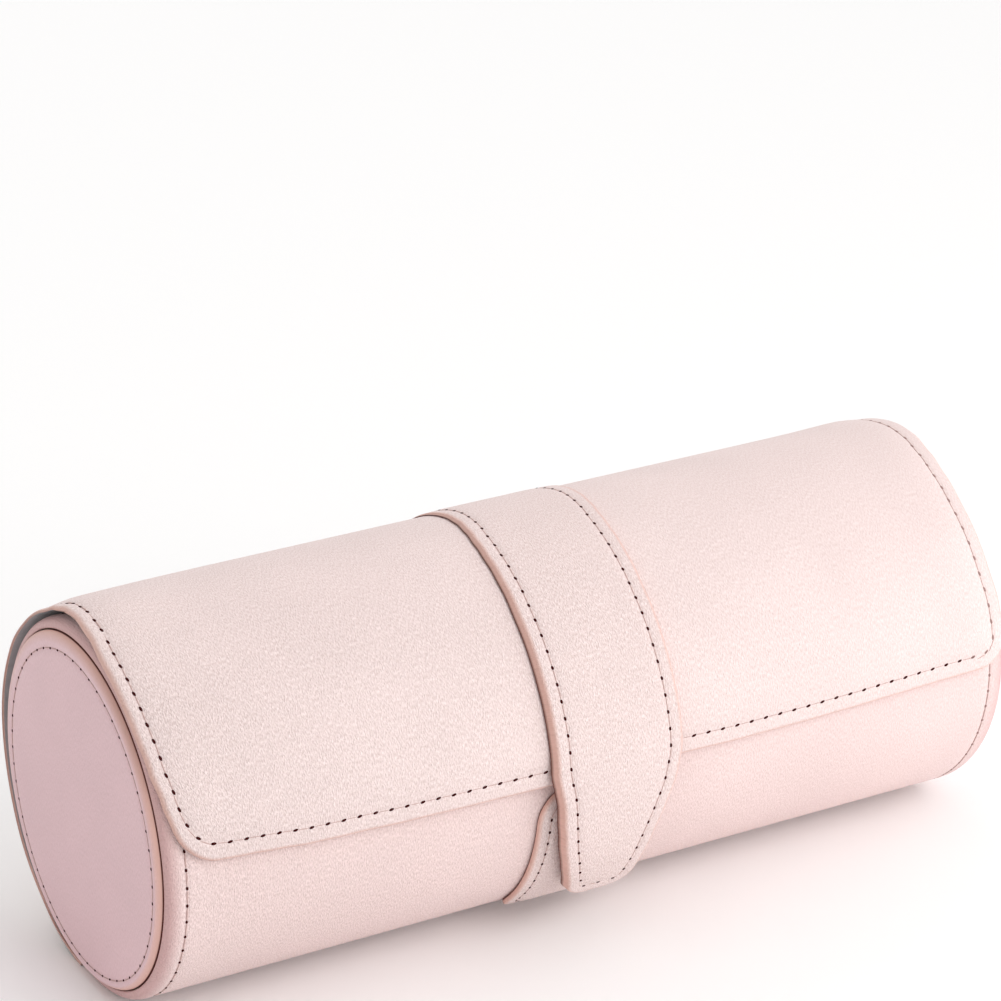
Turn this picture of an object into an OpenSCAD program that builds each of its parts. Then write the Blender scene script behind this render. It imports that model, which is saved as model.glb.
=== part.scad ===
/* [Case body] */
// Length of the leather-covered tube, end to end
case_length = 200.8; // [150:0.2:260]
// Outer radius of the leather-covered tube
case_radius = 40; // [32:0.5:55]
// Thickness of the leather wrap
wrap_thickness = 1.5; // [1:0.1:2]
// Rounding of the wrap at both tube ends
wrap_edge_round = 1.8; // [0.6:0.1:2]
// How far the wrap is turned in over the tube's end faces
wrap_turn_in = 1.1; // [0.8:0.1:1.6]
// Wall of the stiff board tube
tube_wall = 2; // [1.5:0.1:3]
// Thickness of the suede lining
lining_thickness = 0.8; // [0.5:0.1:1.2]
// Depth of the flattened strip the case rests on
rest_flat_depth = 0.6; // [0.3:0.05:0.8]

/* [Mouth under the flap] */
// Angle of the mouth's back edge, from straight up
mouth_back_angle = -60; // [-70:1:-45]
// Angle of the mouth's front edge, from straight up
mouth_front_angle = 69; // [60:1:74]
// Full ring of tube left at each end of the mouth
mouth_rim = 13; // [8:0.5:20]

/* [Case ends] */
// Thickness of the leather end cover
end_cover_thickness = 2.8; // [2.2:0.1:3.4]
// How far the end cover stands out from the wrap
end_cover_proud = 1.5; // [0.4:0.1:1.8]
// Rounding of the end cover's outer edge
end_cover_round = 1.6; // [0.4:0.1:1.8]
// Clearance between end cover and wrap
end_cover_gap = 0.4; // [0.1:0.05:0.6]
// Thickness of the board that closes each end
end_board_thickness = 2.5; // [1.5:0.1:4]

/* [Flap] */
// Overhang of the flap past each tube end
flap_overhang = 0.2; // [0:0.1:2]
// Air gap between the closed flap and the wrap
flap_gap = 0.4; // [0.3:0.05:0.8]
// Thickness of the flap leather
flap_leather_thickness = 1.8; // [1.2:0.1:2.4]
// Angle of the flap root behind the case, from straight up
flap_root_angle = -150; // [-155:1:-140]
// Angle of the flap's front edge, from straight up
flap_front_angle = 85.5; // [78:0.5:92]
// Corner radius of the flap's front edge
flap_corner = 10; // [5:0.5:16]
// Margin of leather shown round the flap lining
flap_lining_margin = 0.6; // [0.4:0.1:3]
// Gap left between neighbouring strips of the flap
fold_gap = 0.2; // [0.1:0.05:0.4]

/* [Strap] */
// Width of the strap
strap_width = 30; // [20:0.5:40]
// Sideways place of the strap
strap_offset = 0; // [-5:0.1:5]
// Thickness of the strap near its tip
strap_thickness = 2.5; // [2:0.1:3]
// Thickness of the strap where it is thinned down behind the case
strap_back_thickness = 0.4; // [0.3:0.05:2]
// Angle where the strap is thickest
strap_thick_angle = 115; // [90:1:130]
// Angle where the strap is sewn on behind the case
strap_start_angle = -106; // [-109:1:-85]
// Corner radius of the strap's sewn end
strap_start_corner = 6; // [2:0.5:10]
// Angle where the strap begins to taper
strap_taper_angle = 83; // [76:1:86]
// Angle of the strap tip
strap_tip_angle = 129.5; // [120:0.5:135]
// Width of the blunt strap tip
strap_tip_width = 13; // [10:0.5:18]
// Corner radius of the strap tip
strap_tip_corner = 4.5; // [2:0.5:6]

/* [Closure tab] */
// Width of the tab sewn on the case below the flap
tab_width = 27.5; // [20:0.5:40]
// Sideways place of the tab
tab_offset = -3.5; // [-6:0.1:6]
// Thickness of the tab
tab_thickness = 1.6; // [1.5:0.1:2.4]
// Angle of the tab's upper edge
tab_top_angle = 88.5; // [87:0.5:95]
// Angle of the tab's lower edge
tab_low_angle = 152; // [140:1:156]
// Corner radius of the tab
tab_corner = 8; // [4:0.5:12]
// Diameter of the hidden magnets
magnet_diameter = 10; // [6:0.5:11]
// Thickness of the hidden magnets
magnet_thickness = 0.6; // [0.5:0.1:0.7]
// Angle of the magnets
magnet_angle = 111; // [104:1:116]

/* [Inside] */
// Thickness of the suede-covered dividers
divider_thickness = 2.4; // [1.6:0.1:4]
// Height of the divider's top above the tube axis
divider_top = 8; // [0:0.5:9]
// Lean of the divider's top toward the front
divider_lean = 4; // [0:1:10]
// Corner radius of the divider's top
divider_corner = 9; // [4:0.5:14]
// Radius of the jewelry cushions
cushion_radius = 23; // [16:0.5:25]
// How much the cushion ends are drawn in
cushion_draw_in = 2.5; // [1:0.1:4]
// Free space at each end of a cushion
cushion_gap = 1.8; // [1:0.1:4]
// Rounding of the cushion ends
cushion_round = 7; // [4:0.5:9]
// How far a cushion settles into the lining
cushion_settle = 0.4; // [0.1:0.1:1]

/* [Hidden] */
$fn = 96;
// Leather, suede, board and magnet colours
leather_color = [0.93, 0.82, 0.81];
suede_color = [0.58, 0.57, 0.59];
board_color = [0.72, 0.64, 0.54];
magnet_color = [0.66, 0.67, 0.69];
// Height of the tube axis above the surface the case rests on
axis_z = case_radius - rest_flat_depth;
// Radii from the axis outward
tube_radius = case_radius - wrap_thickness;
tube_bore = tube_radius - tube_wall;
turned_radius = tube_radius - wrap_turn_in;
lining_bore = tube_bore - lining_thickness;
flap_inner = case_radius + flap_gap;
flap_middle = flap_inner + lining_thickness;
flap_outer = flap_middle + flap_leather_thickness;
strap_outer = flap_outer + strap_thickness;
strap_bow = flap_outer + (strap_thickness + strap_back_thickness) / 2;
strap_shift = (strap_thickness - strap_back_thickness) / 2;
tab_outer = case_radius + tab_thickness;
// Lengths along the axis
tube_length = case_length - 2 * (end_cover_thickness - end_cover_proud);
inner_length = tube_length - 2 * (end_board_thickness + lining_thickness);
flap_length = case_length + 2 * flap_overhang;
mouth_length = case_length - 2 * mouth_rim;
divider_width = 2 * sqrt(lining_bore * lining_bore - divider_top * divider_top);
room_length = (inner_length - 2 * divider_thickness) / 3;
room_pitch = room_length + divider_thickness;
// Strips of the flap, hinged one to the next
flap_strips = 6;
strip_angle = (flap_front_angle - flap_root_angle) / flap_strips;
// Reach of cutting shapes past the object
reach = 2 * case_radius;
// Lean of the flap's front edge, and angle by which rings run past their cut ends
front_lean = 12;
// How far the tab's corner outline runs past its radial ends
corner_spill = 0.5;
// Angular step of the cutting wedges
wedge_step = 30;
// Steps in the round corners of the strap tip
arc_steps = 8;
// Angle over which the wrap rises straight from the tube to the flap root
root_rise = acos(case_radius / flap_outer);
// Radius of the crowned cushion side
cushion_half = room_length / 2 - cushion_gap;
cushion_crown = (cushion_half * cushion_half + cushion_draw_in * cushion_draw_in)
    / (2 * cushion_draw_in);
// Direction of the strap tip's outline and the places along it
tip_angle_mid = (strap_taper_angle + strap_tip_angle) / 2;
tip_reach = strap_outer * sin((strap_tip_angle - strap_taper_angle) / 2);
tip_corner_x = strap_tip_width / 2 - strap_tip_corner;
tip_corner_y = strap_tip_corner - tip_reach;
tip_side = [strap_width / 2 - tip_corner_x, tip_reach - tip_corner_y];
tip_touch = atan2(tip_side[1], tip_side[0]) - acos(strap_tip_corner / norm(tip_side));

// Point of the cross-section at an angle from straight up and a distance from the axis
function section_point(angle, radius) = [-radius * sin(angle), radius * cos(angle)];
// Start angle of one strip of the flap
function strip_start(index) = flap_root_angle + (index - 1) * strip_angle;
// Points along an arc
function arc_points(center, radius, from, to) =
    [for (i = [0 : arc_steps])
        center + radius * [
            cos(from + (to - from) * i / arc_steps), sin(from + (to - from) * i / arc_steps)
        ]];
// Half of the fold gap as an angle at a radius
function gap_angle(radius) = fold_gap / 2 / radius * 180 / PI;

// Wedge of the cross-section between two angles
module wedge(from, to) {
    steps = ceil((to - from) / wedge_step);
    polygon(concat([[0, 0]],
        [for (i = [0 : steps]) section_point(from + (to - from) * i / steps, reach)]));
}

// Part of a ring between two angles
module ring_part(inner, outer, from, to) {
    intersection() {
        difference() {
            circle(r = outer);
            circle(r = inner);
        }
        wedge(from, to);
    }
}

// Cross-section drawn out along the case
module along_case(length, offset = 0) {
    translate([offset, 0, axis_z])
        rotate([90, 0, 90])
            linear_extrude(height = length, center = true) children();
}

// Outline drawn outward from the axis in one direction
module outward(angle, offset = 0) {
    translate([offset, 0, axis_z])
        rotate([angle, 0, 0])
            linear_extrude(height = reach) children();
}

// Profile turned round the case axis
module round_case() {
    translate([0, 0, axis_z])
        rotate([0, 90, 0])
            rotate_extrude() children();
}

// Rectangle with round corners
module round_rect(length, width, radius) {
    square([length - 2 * radius, width], center = true);
    square([length, width - 2 * radius], center = true);
    for (sx = [-1, 1], sy = [-1, 1])
        translate([sx * (length / 2 - radius), sy * (width / 2 - radius)]) circle(r = radius);
}

// Mouth cut through wrap, tube and lining
module mouth() {
    along_case(mouth_length) wedge(mouth_back_angle, mouth_front_angle);
}

// Sleeve profile with outer edges rounded
module sleeve_profile(inner, outer, length, round) {
    intersection() {
        translate([inner, -length / 2]) square([outer - inner, length]);
        union() {
            translate([0, -length / 2]) square([outer - round, length]);
            translate([0, round - length / 2]) square([outer, length - 2 * round]);
            for (side = [-1, 1])
                translate([outer - round, side * (length / 2 - round)]) circle(r = round);
        }
    }
}

// Leather round the tube, rising at the back into the flap root
module body_wrap() {
    color(leather_color)
        difference() {
            union() {
                round_case()
                    difference() {
                        sleeve_profile(turned_radius, case_radius, case_length, wrap_edge_round);
                        translate([0, -tube_length / 2]) square([tube_radius, tube_length]);
                    }
                along_case(case_length - 2 * wrap_edge_round)
                    difference() {
                        polygon([
                            section_point(flap_root_angle - root_rise, case_radius),
                            section_point(flap_root_angle, flap_outer),
                            section_point(flap_root_angle, tube_radius),
                            section_point(flap_root_angle - root_rise, tube_radius)
                        ]);
                        circle(r = tube_radius);
                    }
            }
            mouth();
            translate([0, 0, -reach / 2]) cube([reach + case_length, reach, reach], center = true);
        }
}

// Stiff board tube that gives the case its shape
module tube_shell() {
    color(board_color)
        difference() {
            along_case(tube_length)
                difference() {
                    circle(r = tube_radius);
                    circle(r = tube_bore);
                }
            mouth();
        }
}

// Suede glued inside the tube
module tube_lining() {
    color(suede_color)
        difference() {
            along_case(inner_length)
                difference() {
                    circle(r = tube_bore);
                    circle(r = lining_bore);
                }
            mouth();
        }
}

// Board that closes one end of the tube
module end_board(side) {
    color(board_color)
        along_case(end_board_thickness, side * (tube_length - end_board_thickness) / 2)
            circle(r = tube_bore);
}

module end_board_left() { end_board(-1); }

module end_board_right() { end_board(1); }

// Round leather cover set into the wrap at one end
module end_cover(side) {
    cover_radius = turned_radius - end_cover_gap;
    color(leather_color)
        translate([side * tube_length / 2, 0, axis_z])
            rotate([0, side * 90, 0])
                rotate_extrude()
                    intersection() {
                        square([cover_radius, end_cover_thickness]);
                        union() {
                            square([cover_radius - end_cover_round, end_cover_thickness]);
                            square([cover_radius, end_cover_thickness - end_cover_round]);
                            translate([
                                cover_radius - end_cover_round,
                                end_cover_thickness - end_cover_round
                            ])
                                circle(r = end_cover_round);
                        }
                    }
}

module end_cover_left() { end_cover(-1); }

module end_cover_right() { end_cover(1); }

// Suede glued on the inside of an end board
module end_lining(side) {
    color(suede_color)
        along_case(lining_thickness, side * (inner_length + lining_thickness) / 2)
            circle(r = tube_bore);
}

module end_lining_left() { end_lining(-1); }

module end_lining_right() { end_lining(1); }

// Suede-covered divider standing in the lower part of the tube
module divider(side) {
    low_reach = 2 * case_radius;
    color(suede_color)
        translate([side * room_pitch / 2, 0, axis_z])
            rotate([divider_lean, 0, 0])
                rotate([90, 0, 90])
                    linear_extrude(height = divider_thickness, center = true)
                        intersection() {
                            circle(r = lining_bore);
                            translate([0, divider_top - low_reach / 2])
                                round_rect(divider_width, low_reach, divider_corner);
                        }
}

module divider_left() { divider(-1); }

module divider_right() { divider(1); }

// Outline of half a cushion: crowned side, rounded and drawn-in ends
module cushion_profile() {
    end_radius = cushion_radius - cushion_draw_in;
    intersection() {
        translate([0, -cushion_half]) square([cushion_radius, 2 * cushion_half]);
        translate([cushion_radius - cushion_crown, 0]) circle(r = cushion_crown);
        union() {
            translate([0, -cushion_half]) square([end_radius - cushion_round, 2 * cushion_half]);
            translate([0, cushion_round - cushion_half])
                square([cushion_radius, 2 * (cushion_half - cushion_round)]);
            for (side = [-1, 1])
                translate([end_radius - cushion_round, side * (cushion_half - cushion_round)])
                    circle(r = cushion_round);
        }
    }
}

// Soft roll that jewelry is fastened round, settled in the lining
module cushion(place) {
    color(suede_color)
        intersection() {
            translate([
                place * room_pitch, 0, axis_z - lining_bore + cushion_radius - cushion_settle
            ])
                rotate([0, 90, 0])
                    rotate_extrude() cushion_profile();
            along_case(case_length) circle(r = lining_bore);
        }
}

module cushion_left() { cushion(-1); }

module cushion_middle() { cushion(0); }

module cushion_right() { cushion(1); }

// Magnet lying flat in a leather layer
module magnet(offset, middle_radius, extra = 0) {
    translate([offset, 0, axis_z])
        rotate([magnet_angle, 0, 0])
            translate([0, 0, middle_radius])
                cylinder(
                    d = magnet_diameter + extra, h = magnet_thickness + extra, center = true);
}

// Leather tab sewn on the case, holding the lower magnet
module closure_tab() {
    half_angle = (tab_low_angle - tab_top_angle) / 2;
    color(leather_color)
        difference() {
            intersection() {
                along_case(tab_width + reach, tab_offset)
                    ring_part(case_radius, tab_outer, tab_top_angle, tab_low_angle);
                outward((tab_top_angle + tab_low_angle) / 2, tab_offset)
                    round_rect(tab_width, 2 * (tab_outer * sin(half_angle) + corner_spill),
                        tab_corner);
            }
            tab_magnet_body();
        }
}

module tab_magnet_body() { magnet(strap_offset, case_radius + tab_thickness * 0.44); }

module tab_magnet() { color(magnet_color) tab_magnet_body(); }

// Cross-section of one strip of the flap
module strip_part(index, inner, outer) {
    ring_part(inner, outer,
        strip_start(index) + gap_angle(outer), strip_start(index + 1) - gap_angle(outer));
}

// One layer of a strip; the front strip has round front corners
module flap_strip(index, inner, outer, margin) {
    layer_length = flap_length - 2 * margin;
    front_reach = flap_outer * sin(front_lean) - margin;
    if (index < flap_strips)
        along_case(layer_length) strip_part(index, inner, outer);
    else
        intersection() {
            along_case(layer_length + reach)
                ring_part(inner, outer,
                    strip_start(index) + gap_angle(outer), flap_front_angle + front_lean);
            outward(flap_front_angle - front_lean)
                translate([0, reach / 2 - front_reach])
                    round_rect(layer_length, reach, flap_corner - margin);
        }
}

// One strip of the flap's outer leather
module flap_leather(index) {
    color(leather_color) flap_strip(index, flap_middle, flap_outer, 0);
}

// One strip of the suede under the flap
module flap_lining(index) {
    color(suede_color) flap_strip(index, flap_inner, flap_middle, flap_lining_margin);
}

module flap_leather_1() { flap_leather(1); }

module flap_leather_2() { flap_leather(2); }

module flap_leather_3() { flap_leather(3); }

module flap_leather_4() { flap_leather(4); }

module flap_leather_5() { flap_leather(5); }

module flap_leather_6() { flap_leather(6); }

module flap_lining_1() { flap_lining(1); }

module flap_lining_2() { flap_lining(2); }

module flap_lining_3() { flap_lining(3); }

module flap_lining_4() { flap_lining(4); }

module flap_lining_5() { flap_lining(5); }

module flap_lining_6() { flap_lining(6); }

// Cross-section of the strap between two angles, thinner toward the back
module strap_section(from, to) {
    intersection() {
        difference() {
            translate(section_point(strap_thick_angle, strap_shift)) circle(r = strap_bow);
            circle(r = flap_outer);
        }
        wedge(from, to);
    }
}

// Stretch of strap between two angles, lying on the flap
module strap_part(from, to) {
    along_case(strap_width, strap_offset)
        strap_section(from + gap_angle(strap_outer), to - gap_angle(strap_outer));
}

// Sewn end of the strap with round corners
module strap_2() {
    end_chord = strap_outer * sin(strip_start(3) - strap_start_angle);
    color(leather_color)
        intersection() {
            along_case(strap_width + reach, strap_offset)
                strap_section(
                    strap_start_angle - front_lean, strip_start(3) - gap_angle(strap_outer));
            outward(strip_start(3), strap_offset)
                round_rect(strap_width, 2 * end_chord, strap_start_corner);
        }
}

module strap_3() { color(leather_color) strap_part(strip_start(3), strip_start(4)); }

module strap_4() { color(leather_color) strap_part(strip_start(4), strip_start(5)); }

module strap_5() { color(leather_color) strap_part(strip_start(5), strip_start(6)); }

// Free stretch of strap over the front of the flap
module strap_front() { color(leather_color) strap_part(strip_start(6), strap_taper_angle); }

// Outline of the tapered strap tip
module tip_outline() {
    polygon(concat(
        [[strap_width / 2, tip_reach], [strap_width / 2, reach]],
        [[-strap_width / 2, reach], [-strap_width / 2, tip_reach]],
        arc_points([-tip_corner_x, tip_corner_y], strap_tip_corner, 180 - tip_touch, 270),
        arc_points([tip_corner_x, tip_corner_y], strap_tip_corner, 270, 360 + tip_touch)
    ));
}

// Tapered end of the strap, holding the upper magnet
module strap_tip() {
    color(leather_color)
        difference() {
            intersection() {
                along_case(strap_width + reach, strap_offset)
                    strap_section(
                        strap_taper_angle + gap_angle(strap_outer),
                        strap_tip_angle + front_lean);
                outward(tip_angle_mid, strap_offset) tip_outline();
            }
            strap_magnet_body();
        }
}

module strap_magnet_body() { magnet(strap_offset, flap_outer + strap_thickness * 0.44); }

module strap_magnet() { color(magnet_color) strap_magnet_body(); }

body_wrap();
tube_shell();
tube_lining();
end_board_left();
end_board_right();
end_cover_left();
end_cover_right();
end_lining_left();
end_lining_right();
divider_left();
divider_right();
cushion_left();
cushion_middle();
cushion_right();
closure_tab();
tab_magnet();
flap_leather_1();
flap_leather_2();
flap_leather_3();
flap_leather_4();
flap_leather_5();
flap_leather_6();
flap_lining_1();
flap_lining_2();
flap_lining_3();
flap_lining_4();
flap_lining_5();
flap_lining_6();
strap_2();
strap_3();
strap_4();
strap_5();
strap_front();
strap_tip();
strap_magnet();
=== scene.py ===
"""Looks of the travel jewelry case: leather, suede, thread and stage around its solid frame."""

import math
from typing import NamedTuple

import bpy
from bpy.props import FloatProperty, FloatVectorProperty, PointerProperty
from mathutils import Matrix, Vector, noise


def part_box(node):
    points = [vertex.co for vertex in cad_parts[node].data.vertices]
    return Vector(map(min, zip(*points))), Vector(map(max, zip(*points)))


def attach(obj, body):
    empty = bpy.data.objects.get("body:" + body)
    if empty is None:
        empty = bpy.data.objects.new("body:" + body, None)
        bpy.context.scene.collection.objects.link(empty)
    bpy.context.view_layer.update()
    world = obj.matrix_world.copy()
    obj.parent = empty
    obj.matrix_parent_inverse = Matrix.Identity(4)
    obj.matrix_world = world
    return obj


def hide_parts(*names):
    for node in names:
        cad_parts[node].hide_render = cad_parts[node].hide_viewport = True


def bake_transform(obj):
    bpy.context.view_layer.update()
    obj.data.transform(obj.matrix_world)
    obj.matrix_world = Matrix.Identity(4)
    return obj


bl_info = {
    "name": "Travel Jewelry Case",
    "version": (1, 0, 0),
    "blender": (4, 5, 0),
    "location": "View3D > Sidebar > Jewelry Case",
    "description": "Leather, suede and stitching of a round travel jewelry case",
    "category": "Object",
}

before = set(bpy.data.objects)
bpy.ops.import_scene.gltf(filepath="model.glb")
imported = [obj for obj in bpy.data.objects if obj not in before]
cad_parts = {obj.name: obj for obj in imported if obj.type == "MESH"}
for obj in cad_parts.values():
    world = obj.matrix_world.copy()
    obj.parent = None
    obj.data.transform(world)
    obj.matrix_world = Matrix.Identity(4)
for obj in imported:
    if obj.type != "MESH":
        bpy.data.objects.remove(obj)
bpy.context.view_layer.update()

MM = 0.001
BODY = "case_body"
ENDS = (("left", -1), ("right", 1))
# Edges between the six strips of the flap, as angles from straight up toward the front
STRIP_EDGES = [-150 + 39.25 * i for i in range(7)]
STRIP_MIDDLES = [(a + b) / 2 for a, b in zip(STRIP_EDGES, STRIP_EDGES[1:])]


def length(name, description, default_mm):
    """A length setting, stored in metres."""
    return FloatProperty(name=name, description=description, default=default_mm * MM, unit="LENGTH")


def angle(name, description, default_degrees):
    """An angle setting, stored in radians."""
    return FloatProperty(
        name=name, description=description, default=math.radians(default_degrees), unit="ROTATION"
    )


def colour(name, description, default):
    """A colour setting in linear light."""
    return FloatVectorProperty(
        name=name, description=description, default=default, subtype="COLOR", min=0, max=1
    )


class CaseSizes(bpy.types.PropertyGroup):
    """Sizes of the case that its leather and suede follow."""

    axis_height: length("Axis height", "Height of the tube's axis above the table", 39.4)
    case_length: length("Case length", "Length of the covered tube", 200.8)
    case_radius: length("Case radius", "Outer radius of the leather wrap", 40)
    lining_radius: length("Lining radius", "Radius of the suede inside the tube", 35.7)
    end_radius: length("End cover radius", "Radius of the round end covers", 37.5)
    end_proud: length("End cover stand-out", "How far the end covers stand out", 1.4)
    flap_length: length("Flap length", "Width of the flap along the case", 201.2)
    flap_inner: length("Flap inner radius", "Radius of the flap's suede side", 40.45)
    flap_outer: length("Flap outer radius", "Radius of the flap's leather side", 43)
    flap_corner: length("Flap corner", "Corner radius of the flap's front edge", 10)
    strap_width: length("Strap width", "Width of the strap", 30)
    strap_offset: length("Strap place", "Sideways place of the strap", 0)
    strap_thickness: length("Strap thickness", "Thickness of the strap near its tip", 2.5)
    strap_back_thickness: length("Strap back", "Thickness of the strap behind the case", 0.4)
    strap_thick_angle: angle("Strap thick angle", "Angle where the strap is thickest", 115)
    tab_width: length("Tab width", "Width of the closure tab", 27.5)
    tab_offset: length("Tab place", "Sideways place of the closure tab", -3.5)
    tab_thickness: length("Tab thickness", "Thickness of the closure tab", 1.6)
    stitch_pitch: length("Stitch pitch", "Distance between needle holes", 3.55)
    mouth_back: angle("Mouth back edge", "Angle of the mouth's back edge", -60)
    mouth_front: angle("Mouth front edge", "Angle of the mouth's front edge", 69)
    mouth_half: length("Half mouth length", "Half the length of the mouth", 87.4)


class CaseColours(bpy.types.PropertyGroup):
    """Colours of the case and its stage."""

    leather: colour("Leather", "Pale pink leather", (0.862, 0.721, 0.704))
    # Painted shade: the wrap takes a slightly rosier copy of the leather for the deeper colour of
    # the shaded lower body
    wrap_leather_shade_tint: colour("Wrap leather", "Leather round the tube", (0.86, 0.69, 0.674))
    # Painted shade: the wrap's turned-in ends are darker and rosier where they face into the gap at
    # the end covers
    wrap_end_shade: colour("Wrap end", "Wrap where it is turned in at the ends", (0.66, 0.4, 0.39))
    # Painted shade: the end covers take a darker, rosier copy of the leather for how the shaded
    # ends look
    end_leather_shade_tint: colour("End leather", "Leather of the round end covers", (0.845, 0.588, 0.62))
    leather_edge: colour("Leather edge", "Tan edges of the leather", (0.76, 0.46, 0.385))
    # Painted shade: a dark colour laid in the gaps and at the foot of side walls, where shade falls
    painted_gap_shade: colour("Dark edge", "Painted shade in the gaps and at the foot of edges", (0.12, 0.026, 0.018))
    suede: colour("Suede", "Grey suede lining", (0.42, 0.412, 0.43))
    thread: colour("Thread", "Thread of the stitch rows", (0.55, 0.37, 0.34))
    # Painted shade: dark beads stand where the needle holes fall into shade
    needle_hole_shade: colour("Needle holes", "Painted shade of the stitch rows' needle holes", (0.055, 0.012, 0.012))
    floor: colour("Floor", "Pale studio floor", (1.0, 1.0, 1.0))


def sizes():
    return bpy.context.scene.jewelry_case_sizes


def colours():
    return bpy.context.scene.jewelry_case_colours


# Shared shader effects


def link(tree, source, target):
    tree.links.new(source, target)


def group_tree(name, inputs, outputs):
    """An empty shader node group with named sockets."""
    tree = bpy.data.node_groups.new(name, "ShaderNodeTree")
    for label, kind, default in inputs:
        socket = tree.interface.new_socket(label, in_out="INPUT", socket_type=kind)
        socket.default_value = default
    for label, kind in outputs:
        tree.interface.new_socket(label, in_out="OUTPUT", socket_type=kind)
    source = tree.nodes.new("NodeGroupInput")
    result = tree.nodes.new("NodeGroupOutput")
    return tree, source, result


def math_node(tree, operation, first, second):
    """A math node whose inputs are sockets or numbers."""
    node = tree.nodes.new("ShaderNodeMath")
    node.operation = operation
    for slot, value in enumerate((first, second)):
        if isinstance(value, (int, float)):
            node.inputs[slot].default_value = value
        else:
            link(tree, value, node.inputs[slot])
    return node.outputs[0]


def scaled_place(tree, place, scale):
    """The surface place stretched by a scale for each direction."""
    node = tree.nodes.new("ShaderNodeVectorMath")
    node.operation = "MULTIPLY"
    link(tree, place, node.inputs[0])
    node.inputs[1].default_value = scale
    return node.outputs[0]


def noise_node(tree, place, scale, detail, roughness=0.5):
    node = tree.nodes.new("ShaderNodeTexNoise")
    node.inputs["Scale"].default_value = scale
    node.inputs["Detail"].default_value = detail
    node.inputs["Roughness"].default_value = roughness
    link(tree, place, node.inputs["Vector"])
    return node.outputs["Fac"]


# Creases and wrinkles to the metre, along and round the case, and shares in the grain's height
CREASE_SCALE, WRINKLE_SCALE = (3800, 1350, 1), (700, 90, 1)
PEBBLE_SHARE, CREASE_SHARE = -0.35, 0.95


def leather_grain():
    """Fine pebbles, short creases and soft wrinkles of full-grain leather."""
    tree, source, result = group_tree(
        "Leather grain",
        [
            ("Place", "NodeSocketVector", (0, 0, 0)),
            ("Pebble scale", "NodeSocketFloat", 3200.0),
            ("Wrinkle depth", "NodeSocketFloat", 0.5),
        ],
        [(label, "NodeSocketFloat") for label in ("Height", "Mottle", "Pore", "Grain shading")],
    )
    place = source.outputs["Place"]
    pebble = tree.nodes.new("ShaderNodeTexVoronoi")
    pebble.feature = "SMOOTH_F1"
    pebble.inputs["Smoothness"].default_value = 0.4
    link(tree, scaled_place(tree, place, (1.4, 1, 1)), pebble.inputs["Vector"])
    link(tree, source.outputs["Pebble scale"], pebble.inputs["Scale"])
    crease = noise_node(tree, scaled_place(tree, place, CREASE_SCALE), 1, 2)
    wrinkle = noise_node(tree, scaled_place(tree, place, WRINKLE_SCALE), 1, 2)
    patch = ranged(tree, noise_node(tree, place, 26, 1), 0.45, 0.7, 0.0, 1.0)
    broad = noise_node(tree, place, 45, 3)
    folds = math_node(tree, "MULTIPLY", wrinkle, patch)
    folds = math_node(tree, "MULTIPLY", folds, source.outputs["Wrinkle depth"])
    height = math_node(tree, "MULTIPLY", pebble.outputs["Distance"], PEBBLE_SHARE)
    height = math_node(tree, "ADD", height, math_node(tree, "MULTIPLY", crease, CREASE_SHARE))
    height = math_node(tree, "ADD", height, folds)
    # The grain, and its painted shade and highlight, fade to the right and are stronger at the
    # front
    along = tree.nodes.new("ShaderNodeSeparateXYZ")
    link(tree, place, along.inputs["Vector"])
    fade = ranged(tree, along.outputs["X"], -0.1, 0.1, 1.15, 0.4)
    front = ranged(tree, along.outputs["Y"], 0.004, 0.03, 0.75, 1.1)
    fade = math_node(tree, "MULTIPLY", fade, front)
    height = math_node(tree, "MULTIPLY", height, fade)
    link(tree, height, result.inputs["Height"])
    link(tree, broad, result.inputs["Mottle"])
    link(tree, crease, result.inputs["Pore"])
    # Painted shade and highlight of the grain, from the crease noise
    grain_shading = math_node(tree, "MULTIPLY", math_node(tree, "SUBTRACT", crease, 0.5), fade)
    link(tree, math_node(tree, "ADD", grain_shading, 0.5), result.inputs["Grain shading"])
    return tree


def suede_nap():
    """Short brushed nap with lighter and darker strokes."""
    tree, source, result = group_tree(
        "Suede nap",
        [("Place", "NodeSocketVector", (0, 0, 0))],
        [("Height", "NodeSocketFloat"), ("Stroke", "NodeSocketFloat")],
    )
    place = source.outputs["Place"]
    nap = noise_node(tree, place, 2400, 2, 0.7)
    stroke = noise_node(tree, scaled_place(tree, place, (150, 320, 150)), 1, 3, 0.55)
    link(tree, nap, result.inputs["Height"])
    link(tree, stroke, result.inputs["Stroke"])
    return tree


def new_material(name):
    """Node tree and main shader of a new material."""
    material = bpy.data.materials.new(name)
    material.use_nodes = True
    return material.node_tree, material.node_tree.nodes["Principled BSDF"]


def surface_place(tree):
    """Place on the piece's own UV map, in metres."""
    node = tree.nodes.new("ShaderNodeTexCoord")
    return node.outputs["UV"]


def placed_group(tree, group, place):
    node = tree.nodes.new("ShaderNodeGroup")
    node.node_tree = group
    link(tree, place, node.inputs["Place"])
    return node


def mixed_colour(tree, factor, first, second):
    """A colour between two, by a factor socket; either colour may be a socket."""
    node = tree.nodes.new("ShaderNodeMix")
    node.data_type = "RGBA"
    link(tree, factor, node.inputs["Factor"])
    for label, value in (("A", first), ("B", second)):
        socket = [s for s in node.inputs if s.name == label and s.type == "RGBA"][0]
        if isinstance(value, tuple):
            socket.default_value = value
        else:
            link(tree, value, socket)
    return [s for s in node.outputs if s.type == "RGBA"][0]


def ranged(tree, value, low, high, to_low, to_high):
    node = tree.nodes.new("ShaderNodeMapRange")
    link(tree, value, node.inputs["Value"])
    for label, number in (
        ("From Min", low),
        ("From Max", high),
        ("To Min", to_low),
        ("To Max", to_high),
    ):
        node.inputs[label].default_value = number
    return node.outputs["Result"]


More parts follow.
